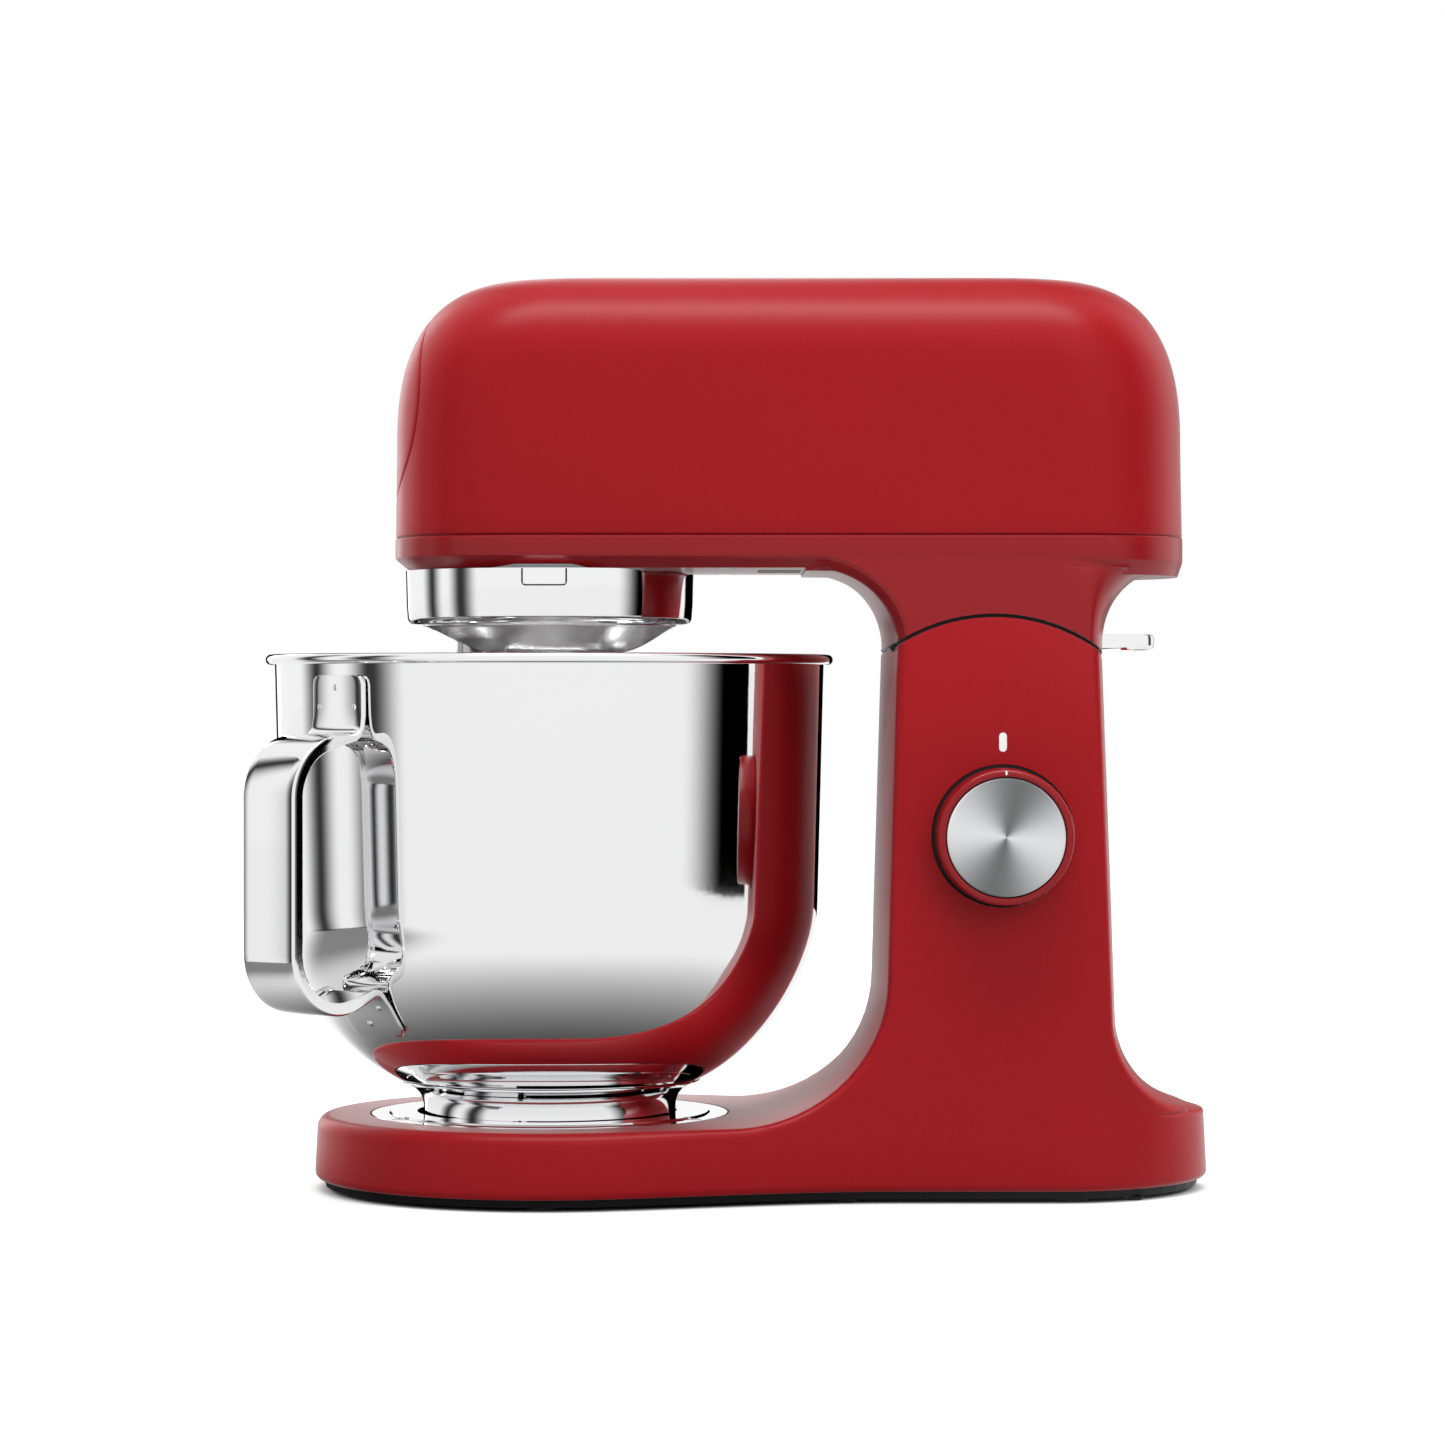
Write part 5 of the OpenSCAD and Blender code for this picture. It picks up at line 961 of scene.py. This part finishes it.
# ---- Finishes of the CAD pieces ----
CAD_FINISH = {
    cast_metal: ("beater", "gearbox_case", "gearbox_lid", "motor_bracket"),
    chrome: ("seat_plate", "hub_catch"),
    steel: ("seat_screws", "cover_screws", "yoke_screws", "hinge_pin", "lever_pin", "lever_spring",
            "motor_bearings", "shaft_bearings", "carrier_shaft", "tool_spindle", "drive_pin", "jackshaft",
            "pinion", "planet_gear", "motor_shaft", "knob_shaft", "keeper_plate"),
    dark_steel: ("hinge_yoke", "ring_gear", "motor_body", "large_pulley", "motor_pulley"),
    bronze: ("hinge_bushes",),
    copper: ("armature",),
    nylon: ("main_gear",),
    board: ("lamp_board", "control_board", "speed_control"),
    plastic_and_shade: ("base_plate", "base_screws", "interlock_switch", "cooling_fan", "slot_cover"),
    rubber: ("rubber_feet", "drive_belt", "cord_inlet"),
    lens: ("indicator_lens",),
}
CAD_EDGES = {"beater": 1.6, "seat_plate": 0.2, "hub_catch": 0.15, "hinge_yoke": 0.5, "seat_screws": 0.2}
for material, names in CAD_FINISH.items():
    for name in names:
        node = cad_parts[name]
        for slot in node.material_slots:
            slot.material = material
        if not node.material_slots:
            node.data.materials.append(material)
for name, width in CAD_EDGES.items():
    soften(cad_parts[name], width)


# ---- Studio ----
GREY, WHITE = (0.5, 0.5, 0.5, 1), (1, 1, 1, 1)


def stage_material(name):
    """An empty material, with its node tree."""
    mat = bpy.data.materials.new(name)
    mat.use_nodes = True
    mat.node_tree.nodes.remove(mat.node_tree.nodes["Principled BSDF"])
    return mat, mat.node_tree


def plane(name, corners, material):
    mesh = bpy.data.meshes.new(name)
    mesh.from_pydata(corners, [], [(0, 1, 2, 3)])
    obj = bpy.data.objects.new(name, mesh)
    scene.collection.objects.link(obj)
    mesh.materials.append(material)
    return obj


def build_floor():
    """White to the camera with the object's shadow, cast by the lamps and deepened by a painted contact
    shadow; metal sees painted shade, the floor darker close to the object.
    """
    mat, tree = stage_material("floor")
    path = add(tree, "LightPath")
    # Painted shadow: the white glow dims where ambient occlusion finds the object close by
    painted_contact_shadow = add(tree, "AmbientOcclusion", {"Distance": 0.05})["AO"]
    white = add(tree, "Emission", {"Strength": ramp(tree, painted_contact_shadow, 0.15, 0.85, 0, 0.80)})[0]
    matt = add(tree, "BsdfDiffuse", {"Color": GREY})[0]
    seen = add(tree, "AddShader", {0: white, 1: matt})[0]
    bounce = add(tree, "BsdfDiffuse", {"Color": GREY})[0]
    # Painted shade in reflections: glossy rays see the floor glow fainter towards the bowl's axis
    away = vector_maths(tree, "DISTANCE", object_spot(tree), (AXIS_X / 1000, 0, 0))["Value"]
    mirrored = add(tree, "Emission", {"Strength": ramp(tree, away, 0.05, 0.27, 0.01, 0.96, "SMOOTHSTEP")})[0]
    shown = mix_shader(tree, path["Is Camera Ray"], bounce, seen)
    shown = mix_shader(tree, path["Is Glossy Ray"], shown, mirrored)
    feed(tree, tree.nodes["Material Output"], {"Surface": shown})
    plane("floor", [(-6, -6, -0.0002), (6, -6, -0.0002), (6, 6, -0.0002), (-6, 6, -0.0002)], mat)


def polar(azimuth, distance):
    """A spot in the row frame round the bowl's axis; azimuth 0 is towards -Y, 90 towards +X."""
    a = radians(azimuth)
    return Vector((AXIS_X / 1000 + distance * sin(a), -distance * cos(a), 0))


def build_flag(name, corner, along, up, soft, strength=0.0):
    """A dark studio flag that metal reflects, from a corner and two sides.

    soft gives the widths over which it fades in and out along its first side and its second."""
    mat, tree = stage_material(name)
    dark = add(tree, "Emission", {"Strength": strength})[0]
    clear = add(tree, "BsdfTransparent")[0]
    split = add(tree, "SeparateXYZ", {"Vector": object_spot(tree)})
    u, v = along.length, up.length
    mask = None
    for axis, start, width in (("X", 0, soft[0]), ("X", u, -soft[1]), ("Y", 0, soft[2]), ("Y", v, -soft[3])):
        if width:
            edge = ramp(tree, split[axis], start, start + width, kind="SMOOTHSTEP")
            mask = edge if mask is None else maths(tree, "MULTIPLY", mask, edge)
    feed(tree, tree.nodes["Material Output"], {"Surface": mix_shader(tree, mask, clear, dark)})
    flag = plane(name, [(0, 0, 0), (u, 0, 0), (u, v, 0), (0, v, 0)], mat)
    x, y = along.normalized(), up.normalized()
    turn = Matrix((x, y, x.cross(y))).transposed()
    flag.matrix_world = Matrix.Translation(corner) @ turn.to_4x4()
    flag.visible_camera = flag.visible_diffuse = flag.visible_shadow = False


def wall_flag(name, start, end, soft, high=1.8, strength=0.0):
    """An upright flag from start to end, fading in and out sideways."""
    start, low = Vector(start), Vector((0, 0, -0.3))
    build_flag(name, start + low, Vector(end) - start, Vector((0, 0, high + 0.3)), (*soft, 0, 0), strength)


def build_world():
    """Even light of half strength; white to the camera and in reflections."""
    world = bpy.data.worlds.new("studio")
    scene.world = world
    world.use_nodes = True
    tree = world.node_tree
    ambient = tree.nodes["Background"]
    feed(tree, ambient, {"Color": WHITE, "Strength": 0.5})
    white = add(tree, "Background", {"Color": WHITE, "Strength": 1.0})[0]
    path = add(tree, "LightPath")
    seen = maths(tree, "MAXIMUM", path["Is Camera Ray"], path["Is Glossy Ray"])
    seen = maths(tree, "MAXIMUM", seen, path["Is Transmission Ray"])
    feed(tree, tree.nodes["World Output"], {"Surface": mix_shader(tree, seen, ambient.outputs[0], white)})


def area_light(name, spot, target, size, power, height=None):
    data = bpy.data.lights.new(name, "AREA")
    data.shape = "RECTANGLE"
    data.size, data.size_y = size, height or size
    data.energy = power
    light = bpy.data.objects.new(name, data)
    scene.collection.objects.link(light)
    light.location = spot
    light.rotation_euler = (Vector(target) - Vector(spot)).to_track_quat("-Z", "Y").to_euler()
    light.visible_camera = False
    return light


build_floor()
build_world()
wall_flag("flag_right", polar(56, 1.36), polar(90, 1.36), (0.48, 0))
wall_flag("flag_back", polar(139, 1.7), polar(176, 1.7), (0.08, 0.03), high=3.6)
wall_flag("flag_left_edge", polar(-172, 1.7), polar(-150, 1.7), (0.02, 0.3), high=3.6)
wall_flag("white_gap", polar(174, 1.62), polar(-171, 1.62), (0.02, 0.02), high=3.6, strength=1.0)
wall_flag("flag_left_rear", (-0.57, 0.25, 0), (-0.57, -0.02, 0), (0.15, 0.12), 0.6, 0.04)
wall_flag("flag_left_front", (-0.57, -0.36, 0), (-0.57, -0.05, 0), (0.17, 0.12), 0.6, 0.04)
build_flag("flag_left_floor", Vector((-0.60, -0.34, 0.0005)), Vector((0.36, 0, 0)), Vector((0, 0.62, 0)),
           (0.01, 0.16, 0.2, 0.2), 0.25)
# The rims and the fill light the paint only; the metal sees the flags in their place
area_light("top_box", (0.02, -0.45, 1.45), (0.02, 0, 0.3), 1.2, 17, 0.45)
area_light("left_rim", (-1.25, 0.75, 0.55), (0, 0, 0.17), 0.7, 19, 1.1).visible_glossy = False
area_light("right_rim", (1.25, 0.75, 0.55), (0.05, 0, 0.17), 0.7, 15, 1.1).visible_glossy = False
area_light("back_strip", (0.05, 1.9, 0.45), (0.02, 0, 0.15), 0.4, 6.5, 1.6)
area_light("left_back_strip", (-0.79, 1.81, 0.45), (0, 0, 0.15), 0.56, 11, 1.6)
area_light("front_fill", (0.8, -1.7, 1.0), (0, 0, 0.18), 1.1, 12).visible_glossy = False

# ---- Camera ----
data = bpy.data.cameras.new("camera")
data.sensor_width = 36
data.lens = 110.4
data.shift_y = -0.0204
data.dof.use_dof = False
data.clip_end = 50
camera = bpy.data.objects.new("camera", data)
camera.location = (-0.0053, -1.661, 0.1846)
camera.rotation_euler = (pi / 2, 0, 0)
scene.collection.objects.link(camera)
scene.camera = camera
scene.view_settings.view_transform = "Standard"
